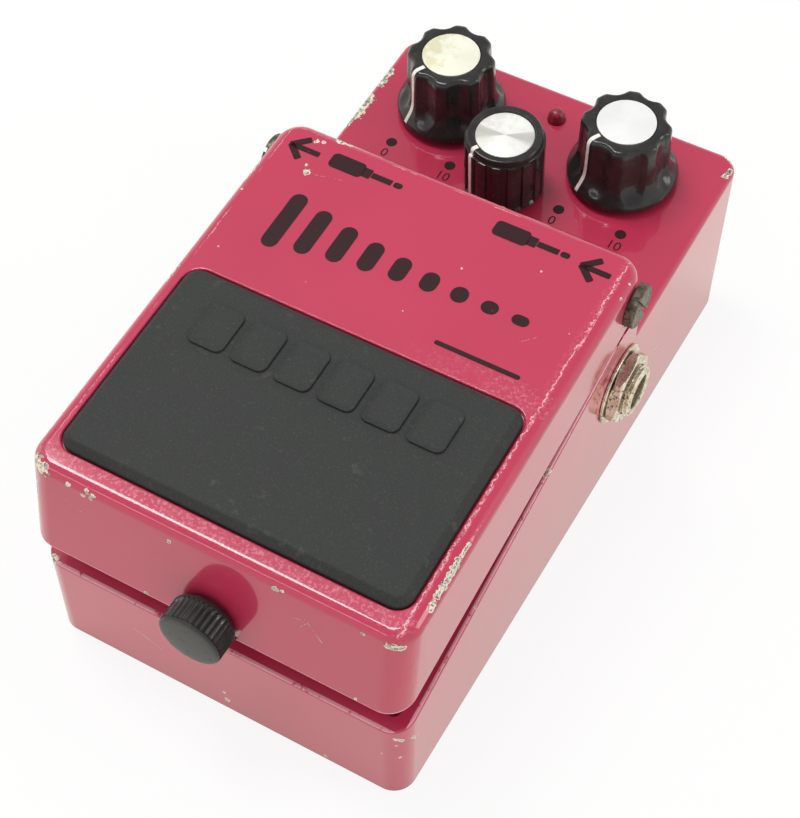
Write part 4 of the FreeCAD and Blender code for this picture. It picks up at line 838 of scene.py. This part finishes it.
def flute(at):
    """Weight of a flute: an arc across the side that ends in an arc on the flare."""
    out = math.hypot(at.x, at.y)
    if at.z < 2.5 or out < 6.3:
        return 0.0
    angle = math.degrees(math.atan2(at.x, -at.y))
    across = (off_centre(angle, 45.0)) / 0.68
    below = max(0.0, (WAIST - at.z) / (WAIST - 2.7))
    inner = min(1.0, (out - 6.3) / 1.2)
    return max(0.0, 1.0 - across * across - below * below) * inner


fluted = turned("fluted_knob", fluted_profile, 192)
pressed(fluted, flute, 0.95, 8.4)
smooth(fluted, 32.0, weighted=False)
print("fluted knob faces", len(fluted.data.polygons))

# %% [markdown]
# ## Middle knob
# The middle knob is plain and narrower. A smooth collar surrounds its disc, and below a small ledge its side
# carries sixteen broad ribs with narrow grooves between them, whose ends catch the light on the ledge.

# %% Ribbed knob
ribbed_profile = [
    (6.9, 1.2), (7.25, 1.3), (7.38, 1.5), (7.4, 2.0), (7.4, 5.0), (7.4, 8.0), (7.4, 11.0), (7.4, 12.7),
    (7.4, 12.86), (7.36, 12.98), (7.26, 13.04), (7.02, 13.06), (6.95, 13.12), (6.94, 13.6), (6.92, 14.1),
    (6.86, 14.32), (6.74, 14.45), (6.55, 14.5), (6.2, 14.5), (5.8, 14.5), (5.62, 14.46), (5.54, 14.32),
    (5.5, 13.9),
]


def groove(at):
    """Weight of a narrow groove down the side."""
    if at.z < 1.6 or at.z > 13.0:
        return 0.0
    angle = math.degrees(math.atan2(at.x, -at.y))
    return 1.0 if off_centre(angle, 22.5) < 0.42 else 0.0


ribbed = turned("ribbed_knob", ribbed_profile, 192)
pressed(ribbed, groove, 0.40, 7.4, 1)
smooth(ribbed, 30.0, weighted=False)
print("ribbed knob faces", len(ribbed.data.polygons))

# %% [markdown]
# ## Glossy black phenolic
# Old phenolic stays glossy but gathers a little dust. Noise at two scales varies its tone and gloss, smears
# dull it in places, and fine noise scatters pale specks of dust and a slight relief over it.


# %% Knob material
def black_phenolic(name, rough, dust, tone=(36, 35, 34)):
    """Glossy black moulding with a little dust and a fine uneven relief."""
    finish = Finish(name)
    cloud = finish.noise(0.35, 4.0)
    fine = finish.noise(4.0, 3.0, seed=11.0)
    smear = finish.noise(0.9, 5.0, 0.65, seed=23.0)
    body = finish.mix(cloud.ramp(0.3, 0.7), colour(*tone), colour(*(value + 12 for value in tone)))
    body = finish.mix(fine.ramp(0.60, 0.78) * dust, body, colour(120, 114, 106))
    gloss = rough + (cloud - 0.5) * 0.16 + smear.ramp(0.5, 0.7) * 0.16
    finish.set(Base_Color=body, Roughness=gloss.clipped(), Specular_IOR_Level=0.4)
    finish.bump(fine * 0.005 + smear * 0.016 + cloud * 0.03, 1.0)
    return finish.material


phenolic = black_phenolic("black phenolic", 0.15, 0.14)
for side in ("left", "right"):
    x, y = KNOBS[side]
    knob = twin(fluted, f"fluted_{side}", on_panel(x, y, 0, KNOB_REST))
    take_over(knob, f"knob_{side}", phenolic)
x, y = KNOBS["middle"]
take_over(twin(ribbed, "ribbed_middle", on_panel(x, y, 0, KNOB_REST)), "knob_middle", phenolic)
bpy.data.objects.remove(fluted)
bpy.data.objects.remove(ribbed)

# %% [markdown]
# ## White lines of the knobs
# A white line runs from the disc over the edge, down the side and out along the skirt. It is a narrow strip,
# extruded point by point along the knob's own profile, a hair proud of it, and given a little thickness.


# %% Line along a profile
def pointer_line(name, points, width, lift):
    """Strip along profile points (radius, height) on the side towards the front."""
    nothing_selected()
    bpy.ops.mesh.primitive_plane_add(size=1.0)
    piece = started(name)
    bpy.ops.object.mode_set(mode="EDIT")
    pick(lambda at, _: at.y > 0, "VERT")
    bpy.ops.mesh.delete(type="VERT")
    radius, height = points[0]
    pick(lambda at, _: True, "EDGE")
    bpy.ops.transform.resize(value=(width * MM, 1, 1), center_override=(0, 0, 0))
    bpy.ops.transform.translate(value=(0, 0.5 - (radius + lift) * MM, (height + lift) * MM))
    for new_radius, new_height in points[1:]:
        bpy.ops.mesh.extrude_region_move(
            TRANSFORM_OT_translate={"value": (0, (radius - new_radius) * MM, (new_height - height) * MM)})
        radius, height = new_radius, new_height
    bpy.ops.mesh.select_all(action="SELECT")
    bpy.ops.mesh.normals_make_consistent(inside=False)
    bpy.ops.object.mode_set(mode="OBJECT")
    modifier = piece.modifiers.new("thickness", "SOLIDIFY")
    modifier.thickness = 0.25 * MM
    modifier.offset = 0.0
    apply_modifiers(piece)
    bevelled(piece, 0.05, 1, 40.0)
    smooth(piece, 40.0, weighted=False)
    return piece


fluted_line = [point for point in reversed(fluted_profile) if 2.0 < point[1] and point[0] > 5.7]
ribbed_line = [point for point in reversed(ribbed_profile) if 1.4 < point[1] and point[0] > 5.7]
enamel = Finish("white enamel")
flecks = enamel.noise(2.4, 4.0, seed=5.0)
aged = enamel.noise(0.6, 3.0, seed=8.0)
line_colour = enamel.mix(aged.ramp(0.35, 0.7) * 0.7, colour(240, 238, 232), colour(214, 200, 178))
line_colour = enamel.mix(flecks.ramp(0.66, 0.74) * 0.7, line_colour, colour(92, 84, 76))
enamel.set(Base_Color=line_colour, Roughness=0.45)
enamel.bump(flecks * 0.02, 0.8)
for side, (x, y) in KNOBS.items():
    points = ribbed_line if side == "middle" else fluted_line
    line = pointer_line(f"line_{side}", points, 0.8, -0.07)
    settle(line, on_panel(x, y, 0, KNOB_REST))
    take_over(line, f"knob_pointer_{side}", enamel.material)

# %% [markdown]
# ## Discs
# A thin aluminium disc is pressed into each knob's top. Turning on a lathe leaves fine rings, which lie in the
# relief. The fan-shaped glint of spun metal is a painted reflection in the colour: greyer sectors by the angle
# round the centre. The left disc has yellowed, and the right one has faint blotches. Rings come from the
# distance to the disc's centre, and the painted fan from the angle round it.


# %% Spun metal
def spun_metal(name, centre, pale, stain, stained, glint):
    """Bright metal with lathe rings, a painted fan of reflection in its colour, and stains; centre is (x, y) in
    millimetres.
    """
    finish = Finish(name)
    dx = finish.x - centre[0]
    dy = finish.y - centre[1]
    radius = (dx * dx + dy * dy) ** 0.5
    ring = (radius * 34.0).math("SINE")
    uneven = finish.noise(1.2, 4.0, seed=2.0)
    angle = dy.math("ARCTAN2", dx)
    fan_reflection = abs((angle - 0.30).math("COSINE")).ramp(0.90, 1.0)
    fan_reflection_fine = finish.noise(7.0, 2.0, seed=12.0, at=finish.node("ShaderNodeCombineXYZ", X=dx / (radius + 0.05),
                                                                Y=dy / (radius + 0.05), Z=radius * 0.02))
    # Painted reflection: the fan mixes the colour towards grey by the angle round the centre.
    base = finish.mix((fan_reflection * 0.75 + (fan_reflection_fine - 0.5) * 0.5).clipped() * glint, pale, colour(176, 174, 164))
    blot = finish.noise(0.55, 5.0, 0.6, seed=44.0)
    base = finish.mix((blot + (dx * -0.03)).ramp(0.50, 0.66) * stained, base, stain)
    finish.set(Base_Color=base, Metallic=0.35, Roughness=(0.32 + uneven * 0.16).clipped())
    finish.bump(ring * 0.004 + uneven * 0.006, 1.0)
    return finish.material


disc_profile = [
    (5.30, -0.5), (5.38, -0.42), (5.38, 0.02), (5.30, 0.09), (5.0, 0.11), (3.4, 0.13), (1.6, 0.14),
    (0.5, 0.14),
]
disc_looks = {
    "left": ("ivory_disc", colour(238, 237, 217), colour(206, 198, 144), 0.5, 0.08),
    "middle": ("spun_disc", colour(236, 236, 232), colour(186, 184, 158), 0.25, 1.0),
    "right": ("white_disc", colour(236, 236, 234), colour(204, 202, 196), 0.12, 0.05),
}
for side, (x, y) in KNOBS.items():
    top = MIDDLE_TOP if side == "middle" else KNOB_TOP
    slot_name, *looks = disc_looks[side]
    sunk = 0.42 if side == "middle" else 0.08
    disc = settle(turned(f"disc_{side}", disc_profile, 96), on_panel(x, y, top - sunk))
    smooth(disc, 30.0)
    centre = (on_panel(x, y, top) @ Vector((0, 0, 0))) / MM
    take_over(disc, f"knob_disc_{side}", spun_metal(f"disc {side}", centre, *looks))

# %% [markdown]
# ## Lamp
# The small lamp is unlit: a dark red lens with a straight foot and a blunt dome. Red plastic swallows most
# light, so its colour is deep, and a coat gives the small bright mirror of the room on top.

# %% Lamp
lamp_profile = [
    (1.66, -1.5), (1.68, 0.0), (1.66, 0.5), (1.6, 0.95), (1.48, 1.4), (1.3, 1.8), (1.05, 2.1), (0.72, 2.3),
    (0.36, 2.38), (0.12, 2.4),
]
lens = settle(turned("lamp_lens", lamp_profile, 48), on_panel(0, 56.9))
smooth(lens, 60.0, weighted=False)
red_glass = Finish("red lens")
haze = red_glass.noise(1.4, 3.0)
lens_colour = red_glass.mix(haze.ramp(0.3, 0.7), colour(150, 26, 48), colour(118, 16, 34))
red_glass.set(Base_Color=lens_colour, Roughness=(0.34 + haze * 0.2).clipped())
red_glass.set(Coat_Weight=0.25, Coat_Roughness=0.2, Subsurface_Weight=0.2, Subsurface_Scale=0.001)
red_glass.bump(haze * 0.03, 0.8)
take_over(lens, "lamp", red_glass.material)

# %% [markdown]
# ## Rubber pad
# A moulded rubber pad fills the recess of the treadle. It is a slab with rounded corners and a soft top edge.
# A row of plain raised frames gives the sole grip. The rubber is matte dark grey, a little cloudy, with dust
# and pale scuffs.


# %% Rounded slab
def slab(name, width, depth, low, high, corner, edge, corner_steps, edge_steps):
    """A box with rounded upright corners and a rounded top edge, centred on X and Y."""
    nothing_selected()
    bpy.ops.mesh.primitive_cube_add(size=1.0, location=(0, 0, (low + high) / 2 * MM),
                                    scale=(width * MM, depth * MM, (high - low) * MM))
    piece = started(name)
    bpy.ops.object.mode_set(mode="EDIT")
    pick(lambda at, way: abs(way.z) > 0.9, "EDGE")
    bpy.ops.mesh.bevel(offset=corner * MM, segments=corner_steps, affect="EDGES")
    pick(lambda at, way: at.z > high - 1e-4 and abs(way.z) < 0.1, "EDGE")
    bpy.ops.mesh.bevel(offset=edge * MM, segments=edge_steps, affect="EDGES")
    bpy.ops.object.mode_set(mode="OBJECT")
    return piece


PAD_FRONT, PAD_REAR = -57.86, -17.98
GRIP_LEFT, GRIP_STEP, GRIP_Y = -20.6, 8.15, 10.2
pad = slab("pad", 63.4, 40.0, -0.79, 1.38, 2.8, 1.25, 8, 1)
bevelled(pad, 0.22, 3, 25.0)
grips = []
for number in range(6):
    block = slab(f"grip_{number}", 6.9, 8.8, 1.2, 1.85, 1.5, 0.16, 6, 2)
    bpy.ops.object.mode_set(mode="EDIT")
    pick(lambda at, way: way.z > 0.99 and at.z > 1.8)
    bpy.ops.mesh.inset(thickness=0.95 * MM)
    bpy.ops.transform.translate(value=(0, 0, -0.34 * MM))
    bpy.ops.object.mode_set(mode="OBJECT")
    grips.append(settle(block, Matrix.Translation(((GRIP_LEFT + number * GRIP_STEP) * MM, GRIP_Y * MM, 0))))
pad = joined([pad] + grips, "foot_pad")
settle(pad, on_treadle(0, (PAD_FRONT + PAD_REAR) / 2))
smooth(pad, 40.0)


# %% Rubber
def dark_rubber(name, dark, light, scuffed):
    """Matte rubber: cloudy, gritty, with dust specks and pale scuffs."""
    finish = Finish(name)
    cloud = finish.noise(0.07, 4.0, 0.6)
    grain = finish.noise(2.8, 3.0, 0.6, seed=4.0)
    dust = finish.noise(1.1, 6.0, 0.75, seed=19.0)
    scuff = finish.noise(0.28, 5.0, 0.65, seed=27.0)
    body = finish.mix((cloud * 2.0 - 0.5).clipped(), colour(*dark), colour(*light))
    body = finish.mix(grain.ramp(0.5, 0.75) * 0.22, body, colour(104, 104, 98))
    body = finish.mix(scuff.ramp(0.60, 0.72) * scuffed, body, colour(112, 112, 104))
    body = finish.mix(dust.ramp(0.735, 0.77) * 0.65, body, colour(158, 154, 146))
    finish.set(Base_Color=body, Roughness=(0.62 + (grain - 0.5) * 0.25 + (cloud - 0.5) * 0.2).clipped())
    finish.set(Specular_IOR_Level=0.25)
    finish.bump(grain * 0.035 + scuff * 0.03 + dust * 0.012, 1.0)
    return finish.material


take_over(pad, "rubber_pad", dark_rubber("pad rubber", (41, 43, 42), (50, 52, 50), 0.18))

# %% [markdown]
# ## Side fittings
# At each side a jack comes through the casting. It shows a thin washer, a chamfered hexagon nut and a threaded
# barrel with a bore, all nickel plated and tarnished. A nut is a six-sided cylinder, cut by a turned cone so
# that its corners are chamfered, and then bored.


# %% Hexagon nut
def cut(piece, tool, operation):
    """Boolean with a tool that is then thrown away."""
    modifier = piece.modifiers.new("cut", "BOOLEAN")
    modifier.operation = operation
    modifier.solver = "EXACT"
    modifier.object = tool
    apply_modifiers(piece)
    bpy.data.objects.remove(tool)
    return piece


def hexagon_nut(name, across, thickness, bore, turn):
    """Chamfered nut with its bore along Z, standing on Z = 0."""
    nothing_selected()
    corner = across / math.sqrt(3)
    bpy.ops.mesh.primitive_cylinder_add(
        vertices=6, radius=corner * MM, depth=thickness * MM,
        location=(0, 0, thickness / 2 * MM), rotation=(0, 0, math.radians(turn)))
    nut = started(name)
    face = across / 2 - 0.1
    slope = (corner + 0.3 - face) * 0.5
    cone = turned("cone", [(face, -0.01), (corner + 0.3, slope), (corner + 0.3, thickness - slope),
                           (face, thickness + 0.01)], 64)
    cut(nut, cone, "INTERSECT")
    drill = turned("drill", [(bore, -1.0), (bore, thickness + 1.0)], 64)
    cut(nut, drill, "DIFFERENCE")
    bevelled(nut, 0.09, 2, 20.0)
    smooth(nut, 30.0)
    return nut


def towards(axis, x, y, z):
    """Frame whose Z points along a world axis, at a point in millimetres."""
    turns = {"+x": (90, "Y"), "-x": (-90, "Y"), "+y": (-90, "X"), "-y": (90, "X")}
    angle, about = turns[axis]
    return Matrix.Translation(Vector((x, y, z)) * MM) @ Matrix.Rotation(math.radians(angle), 4, about)


print("nut tools ready")


# %% Tarnished metals
def old_metal(name, bright, dull, stain, rough, metallic=0.9, stained=0.85, relief=0.05):
    """Plated metal with dull patches, dark stains in the pits and fine wear."""
    finish = Finish(name)
    patch = finish.noise(0.5, 5.0, 0.62)
    pit = finish.noise(1.5, 6.0, 0.72, seed=6.0)
    fine = finish.noise(6.0, 3.0, 0.6, seed=15.0)
    stains = pit.ramp(0.53, 0.60)
    skin = finish.mix(patch.ramp(0.36, 0.64), colour(*bright), colour(*dull))
    skin = finish.mix(stains * stained, skin, colour(*stain))
    finish.set(Base_Color=skin, Metallic=(metallic - stains * 0.5).clipped())
    finish.set(Roughness=(rough + (patch - 0.5) * 0.3 + stains * 0.25).clipped())
    finish.bump(pit * relief + fine * 0.008, 1.0)
    return finish.material


nickel = old_metal("old nickel", (240, 231, 212), (208, 197, 173), (76, 64, 48), 0.20)
zinc = old_metal("zinc plate", (196, 194, 188), (160, 158, 150), (104, 96, 84), 0.34)
dark_steel = old_metal("dark steel", (120, 108, 92), (78, 70, 58), (34, 27, 22), 0.34, 0.8, 0.9, 0.12)
moulded = Finish("black moulding")
mottle = moulded.noise(0.8, 4.0)
pores = moulded.noise(5.0, 2.0, seed=3.0)
moulded.set(Base_Color=moulded.mix(mottle, colour(20, 20, 20), colour(38, 37, 36)))
moulded.set(Roughness=(0.42 + (mottle - 0.5) * 0.3).clipped())
moulded.bump(pores * 0.01 + mottle * 0.02, 1.0)
print("metals ready")

# %% Jacks
JACK_Y, JACK_Z = 12.8, 27.0
barrel_profile = [(3.2, -5.0), (3.2, 3.55), (3.32, 3.85), (3.55, 3.98), (4.1, 4.02), (4.35, 3.9)]
step = 3.62
while step > 0.2:
    barrel_profile += [(4.74, step), (4.74, step - 0.08), (4.42, step - 0.37), (4.42, step - 0.42)]
    step -= 0.68
barrel_profile += [(4.5, -0.6), (4.5, -5.0), (3.2, -5.0)]
barrel = turned("barrel", barrel_profile, 64, loop=True)
smooth(barrel, 35.0)
washer_profile = [(4.9, 0.02), (7.45, 0.02), (7.6, 0.12), (7.6, 0.46), (7.45, 0.58), (4.9, 0.58), (4.9, 0.02)]
washer = turned("washer", washer_profile, 72, loop=True)
smooth(washer, 30.0)
nut = hexagon_nut("jack_nut", 12.7, 2.1, 4.82, 12.0)
for side, axis, node in ((1, "+x", "input_jack"), (-1, "-x", "output_jack")):
    body = shortened(copy_of(node, f"{node}_body", 0.15), (side * (WALL_X - 0.4), 0, 0), (side, 0, 0))
    take_over(body, node, moulded.material)
    fittings = ((barrel, "barrel", 0.15, node), (washer, "washer", 0.0, "jack_washers"),
                (nut, "nut", 0.6, "jack_nuts"))
    for part, kind, out, stands_for in fittings:
        place = towards(axis, side * (WALL_X + out), JACK_Y, JACK_Z)
        take_over(twin(part, f"{node}_{kind}", place), stands_for, nickel)
for spare in (barrel, washer, nut):
    bpy.data.objects.remove(spare)

# %% [markdown]
# ## Hinge screws and washers
# The treadle hangs on two slotted screws. Their dark plating has browned with age. The solid model already
# has their slots, so a merged copy only gets rounded edges.

# %% Hinge screws
take_over(copy_of("hinge_screws", "hinge_screw_pair", 0.28, 3), "hinge_screws", dark_steel)
dress(["hinge_washers"], zinc)

# %% [markdown]
# ## Thumbscrew
# The black thumbscrew in front opens the treadle. Thirty-six fine ridges run round its head, between a bevelled
# back and a slightly domed satin face. It is turned, and the columns of points between ridges are pressed in.

# %% Thumbscrew
head_profile = [
    (3.0, -0.6), (3.0, 0.0), (4.9, 0.0), (5.1, 0.12), (5.35, 0.45), (5.6, 0.85), (5.7, 1.05), (5.7, 1.2),
    (5.7, 2.2), (5.7, 3.2), (5.7, 4.2), (5.7, 4.95), (5.7, 5.15), (5.64, 5.36), (5.5, 5.54), (5.28, 5.66),
    (4.9, 5.74), (4.2, 5.8), (3.2, 5.85), (1.8, 5.89), (0.4, 5.9),
]
thumb = turned("thumb_head", head_profile, 216)


def ridge(at):
    """Weight of the valleys between the ridges."""
    if at.z < 1.1 or at.z > 5.2:
        return 0.0
    angle = math.degrees(math.atan2(at.x, at.y))
    return 1.0 - off_centre(angle, 10.0) ** 1.5


pressed(thumb, ridge, 0.42, 5.7, 6)
smooth(thumb, 50.0, weighted=False)
settle(thumb, towards("-y", 0, -64.9, 32.0))
thumb_black = black_phenolic("thumbscrew black", 0.34, 0.10, (34, 35, 33))
shaft = shortened(copy_of("thumbscrew", "thumb_shaft", 0.1), (0, -64.5, 0), (0, -1, 0))
take_over(shaft, "thumbscrew", zinc)
take_over(thumb, "thumbscrew", thumb_black)
dress(["thumbscrew_clip"], zinc)

# %% [markdown]
# ## Printed marks
# Black marks are printed on the paint: an arrow at each side of the treadle that shows which way the signal
# runs, and small dots at the ends of each knob's travel. Plain signs say the rest: a plug beside each arrow, a
# row of bars that fade like an echo, and plain numbers on the panel. Each mark is a flat shape a hair above
# the paint, with specks where the print has worn off.


# %% Flat marks
def flat_bar(name, x, y, length, width, turn=0.0, corner=0.3):
    """A flat bar with rounded corners, in the slope's own plane."""
    nothing_selected()
    bpy.ops.mesh.primitive_plane_add(size=1.0)
    piece = started(name)
    all_picked()
    bpy.ops.transform.resize(value=(length * MM, width * MM, 1), center_override=(0, 0, 0))
    bpy.ops.mesh.bevel(offset=corner * MM, segments=4, affect="VERTICES")
    bpy.ops.object.mode_set(mode="OBJECT")
    place = Matrix.Translation((x * MM, y * MM, 0)) @ Matrix.Rotation(math.radians(turn), 4, "Z")
    return settle(piece, place)


def flat_dot(name, x, y, radius):
    """A flat round dot."""
    nothing_selected()
    bpy.ops.mesh.primitive_circle_add(
        vertices=32, radius=radius * MM, fill_type="NGON", location=(x * MM, y * MM, 0))
    return started(name)


def flat_number(text, x, y, height):
    """A plain number, turned into a mesh before it is placed."""
    nothing_selected()
    bpy.ops.object.text_add()
    piece = bpy.context.object
    piece.data.body = text
    piece.data.size = height * 1.4 * MM
    piece.data.align_x = "CENTER"
    piece.data.align_y = "CENTER"
    bpy.ops.object.convert(target="MESH")
    piece = bpy.context.object
    return settle(piece, Matrix.Translation((x * MM, y * MM, 0)))


def arrow(x, y, length):
    """An arrow that points left, its tip at a place."""
    return [
        flat_bar("shaft", x + length / 2 + 0.3, y, length - 0.9, 1.15),
        flat_bar("barb", x + 1.45, y + 1.15, 3.9, 1.3, 42.0),
        flat_bar("barb", x + 1.45, y - 1.15, 3.9, 1.3, -42.0),
    ]


def plug(x, y, way):
    """A plain plug seen from the side: handle, neck, shaft and tip."""
    return [
        flat_bar("handle", x - way * 4.9, y, 6.6, 3.3, corner=0.9),
        flat_bar("neck", x - way * 0.95, y, 1.7, 2.1, corner=0.2),
        flat_bar("sleeve", x + way * 2.0, y, 4.0, 1.2, corner=0.1),
        flat_bar("tip", x + way * 5.2, y, 1.7, 1.2, corner=0.5),
    ]


print("mark tools ready")

# %% Print on the treadle
PRINT_LIFT = 0.035
marks = arrow(-31.2, 12.9, 6.0) + plug(-15.0, 13.2, 1)
marks += arrow(25.6, 12.5, 5.6) + plug(17.2, 13.1, 1)
bar_height = 12.6
for number in range(9):
    corner = min(1.5, bar_height / 2 - 0.01)
    marks.append(flat_bar("echo", -23.2 + number * 5.65, -2.4, 3.1, bar_height, corner=corner))
    bar_height *= 0.80
marks.append(flat_bar("rule", 19.4, -12.6, 15.6, 0.9, corner=0.4))
treadle_print = joined(marks, "treadle_print")
settle(treadle_print, on_treadle(0, 0, PRINT_LIFT))

# %% Print on the panel
DOT_ROW = 37.25
marks = []
for x, number in ((-24.8, "0"), (-12.3, "10"), (10.4, "0"), (22.9, "10")):
    marks += [flat_dot("dot", x, 0.0, 1.05), flat_number(number, x, -2.9, 2.0)]
panel_print = joined(marks, "panel_print")
settle(panel_print, on_panel(0, DOT_ROW, PRINT_LIFT))
print("marks", len(treadle_print.data.polygons), len(panel_print.data.polygons))


# %% Printing ink
# Satin black ink that has worn through to the paint in specks.
ink = Finish("treadle ink")
specks = ink.noise(1.5, 6.0, 0.7, seed=33.0)
cloud = ink.noise(0.2, 3.0, seed=35.0)
black = ink.mix(cloud, colour(48, 25, 28), colour(50, 26, 29))
ink.set(Base_Color=ink.mix(specks.ramp(0.665, 0.70), black, PINK), Roughness=(0.36 + cloud * 0.12).clipped())
ink.set(Specular_IOR_Level=0.15)
ink.bump(specks * 0.012, 0.8)
added(treadle_print, "treadle", ink.material)
added(panel_print, "base", ink.material)

# %% [markdown]
# ## Rear power socket
# The inlet at the rear is a black barrel in a plated nut, with a pin in its bore.

# %% Power socket
take_over(copy_of("power_socket", "power_inlet", 0.12), "power_socket", moulded.material)
power_nut = hexagon_nut("power_hexagon", 11.0, 1.1, 4.05, 0.0)
box_low, box_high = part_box("power_nut")
settle(power_nut, towards("+y", 0, box_low[1] / MM, (box_low[2] + box_high[2]) / 2 / MM))
take_over(power_nut, "power_nut", nickel)

# %% [markdown]
# ## Underside
# A rubber mat is glued over the steel base plate. It is ribbed so that the pedal doesn't slide, and its screws
# stay reachable. Fine ribs are cheapest as relief in the material: a wave along X.

# %% Mat and plate
mat = Finish("ribbed mat")
rib = (mat.x * 2.1).math("SINE") * 0.5 + 0.5
wear_spot = mat.noise(0.12, 4.0)
fine = mat.noise(2.5, 3.0, seed=3.0)
mat_colour = mat.mix(wear_spot.ramp(0.4, 0.65), colour(38, 38, 37), colour(56, 55, 52))
mat.set(Base_Color=mat.mix(rib.ramp(0.7, 1.0) * 0.25, mat_colour, colour(84, 82, 78)))
mat.set(Roughness=(0.7 + (fine - 0.5) * 0.2).clipped())
mat.bump(rib * 0.28 + fine * 0.03, 1.0)
dress(["rubber_mat"], mat.material)
dress(["base_plate", "base_screws"], zinc)

# %% [markdown]
# ## Under the treadle
# Opening the treadle shows the battery bay, the return spring and the foot switch. Each gets the finish of
# its real material: a wrapped cell, grey foam, white nylon, bright spring steel.

# %% Battery
cell_low, cell_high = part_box("battery")
print("battery", in_mm((cell_low, cell_high)))
cell = copy_of("battery", "battery_cell", 0.5, 3)
wrap = Finish("battery wrap")
middle = [(a + b) / 2 / MM for a, b in zip(cell_low, cell_high)]
length_axis = max(range(3), key=lambda i: cell_high[i] - cell_low[i])
along = (wrap.x, wrap.y, wrap.z)[length_axis] - middle[length_axis]
band = (along / ((cell_high[length_axis] - cell_low[length_axis]) / MM) + 0.5)
crease = wrap.noise(0.5, 4.0)
label = wrap.mix(band.ramp(0.30, 0.31), colour(176, 132, 62), colour(34, 34, 36))
label = wrap.mix(crease.ramp(0.62, 0.7) * 0.25, label, colour(150, 146, 138))
wrap.set(Base_Color=label, Metallic=0.25, Roughness=(0.3 + crease * 0.2).clipped(), Coat_Weight=0.3)
wrap.bump(crease * 0.06, 1.0)
take_over(cell, "battery", wrap.material)

# %% Spring and cushion
spring = copy_of("treadle_spring", "return_spring")
spring_steel = old_metal("spring steel", (198, 196, 190), (160, 156, 148), (110, 98, 84), 0.28)
take_over(spring, "treadle_spring", spring_steel)
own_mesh(spring)
cushion = copy_of("switch_cushion", "switch_pad", 0.25)
cushion_rubber = dark_rubber("cushion rubber", (40, 40, 40), (54, 54, 52), 0.1)
take_over(cushion, "switch_cushion", cushion_rubber)
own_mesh(cushion)


# %% Plain finishes with texture
def plain_finish(name, first, second, rough, scale, relief, coat=0.0):
    """Two shades mixed by noise, with relief and uneven gloss."""
    finish = Finish(name)
    cloud = finish.noise(scale, 4.0, 0.6)
    fine = finish.noise(scale * 6.0, 3.0, seed=7.0)
    share = (cloud * 1.6 + fine * 0.4 - 0.5).clipped()
    finish.set(Base_Color=finish.mix(share, colour(*first), colour(*second)))
    finish.set(Roughness=(rough + (fine - 0.5) * 0.25).clipped(), Coat_Weight=coat)
    finish.bump(cloud * relief + fine * relief * 0.5, 1.0)
    return finish.material


# Each row: name, two shades, roughness, grains in a millimetre, relief, coat, and the nodes that wear it.
plain_rows = [
    ("white nylon", (226, 222, 212), (204, 198, 184), 0.45, 0.5, 0.02, 0.0,
     ["switch_plunger", "guide_bushing"]),
    ("grey foam", (92, 92, 94), (58, 58, 60), 0.9, 1.6, 0.25, 0.0, ["battery_foam"]),
    ("grey sheet", (120, 122, 124), (98, 100, 102), 0.6, 0.3, 0.02, 0.0, ["insulating_sheet"]),
    ("red lead", (178, 28, 30), (150, 20, 24), 0.35, 0.6, 0.01, 0.3, ["battery_lead_red"]),
    ("black lead", (30, 30, 31), (20, 20, 21), 0.35, 0.6, 0.01, 0.3, ["battery_lead_black"]),
    ("grey lead", (146, 146, 144), (122, 122, 120), 0.35, 0.6, 0.01, 0.3,
     ["jack_leads", "switch_leads", "panel_cable"]),
    ("capacitor sleeve", (38, 46, 84), (26, 32, 62), 0.3, 0.5, 0.01, 0.3, ["board_can_capacitors"]),
    ("film coat", (168, 62, 40), (142, 46, 30), 0.28, 0.6, 0.03, 0.4, ["board_film_capacitors"]),
    ("resistor coat", (206, 176, 132), (182, 148, 104), 0.4, 0.8, 0.02, 0.0, ["board_resistors"]),
    ("trimmer blue", (40, 92, 168), (30, 74, 140), 0.35, 0.6, 0.01, 0.0, ["board_trimmers"]),
]
for *looks, wearers in plain_rows:
    dress(wearers, plain_finish(*looks))

# %% Circuit boards
board = Finish("green board")
weave = board.noise(3.0, 2.0)
waves = (board.y * 1.3 + board.noise(0.2, 2.0) * 9.0).math("SINE")
tracks = ((board.x * 1.7).math("SINE") * waves).ramp(0.15, 0.3)
lacquer = board.mix(weave, colour(24, 92, 52), colour(34, 108, 62))
board.set(Base_Color=board.mix(tracks * 0.6, lacquer, colour(96, 148, 84)), Roughness=0.35, Coat_Weight=0.4)
board.bump(tracks * 0.04 + weave * 0.01, 1.0)
dress(["main_board", "pot_board", "switch_board"], board.material)
dress(["board_chips", "foot_switch", "battery_snap", "battery_grommet"], moulded.material)

# %% Metal pieces inside
brass = old_metal("brass", (206, 176, 108), (176, 146, 84), (110, 84, 46), 0.32)
pot_can = old_metal("pot can", (180, 180, 176), (150, 150, 146), (112, 106, 96), 0.36)
dress(["board_screws", "switch_screws"], zinc)
dress([f"pot_shaft_{side}" for side in KNOBS], brass)
dress([f"pot_body_{side}" for side in KNOBS], pot_can)
dress(["pot_washers", "pot_nuts"], nickel)

# %% Hand over
shown = [o.name for o in bpy.data.objects if o.type == "MESH" and not o.hide_render]
print("shown", len(shown))
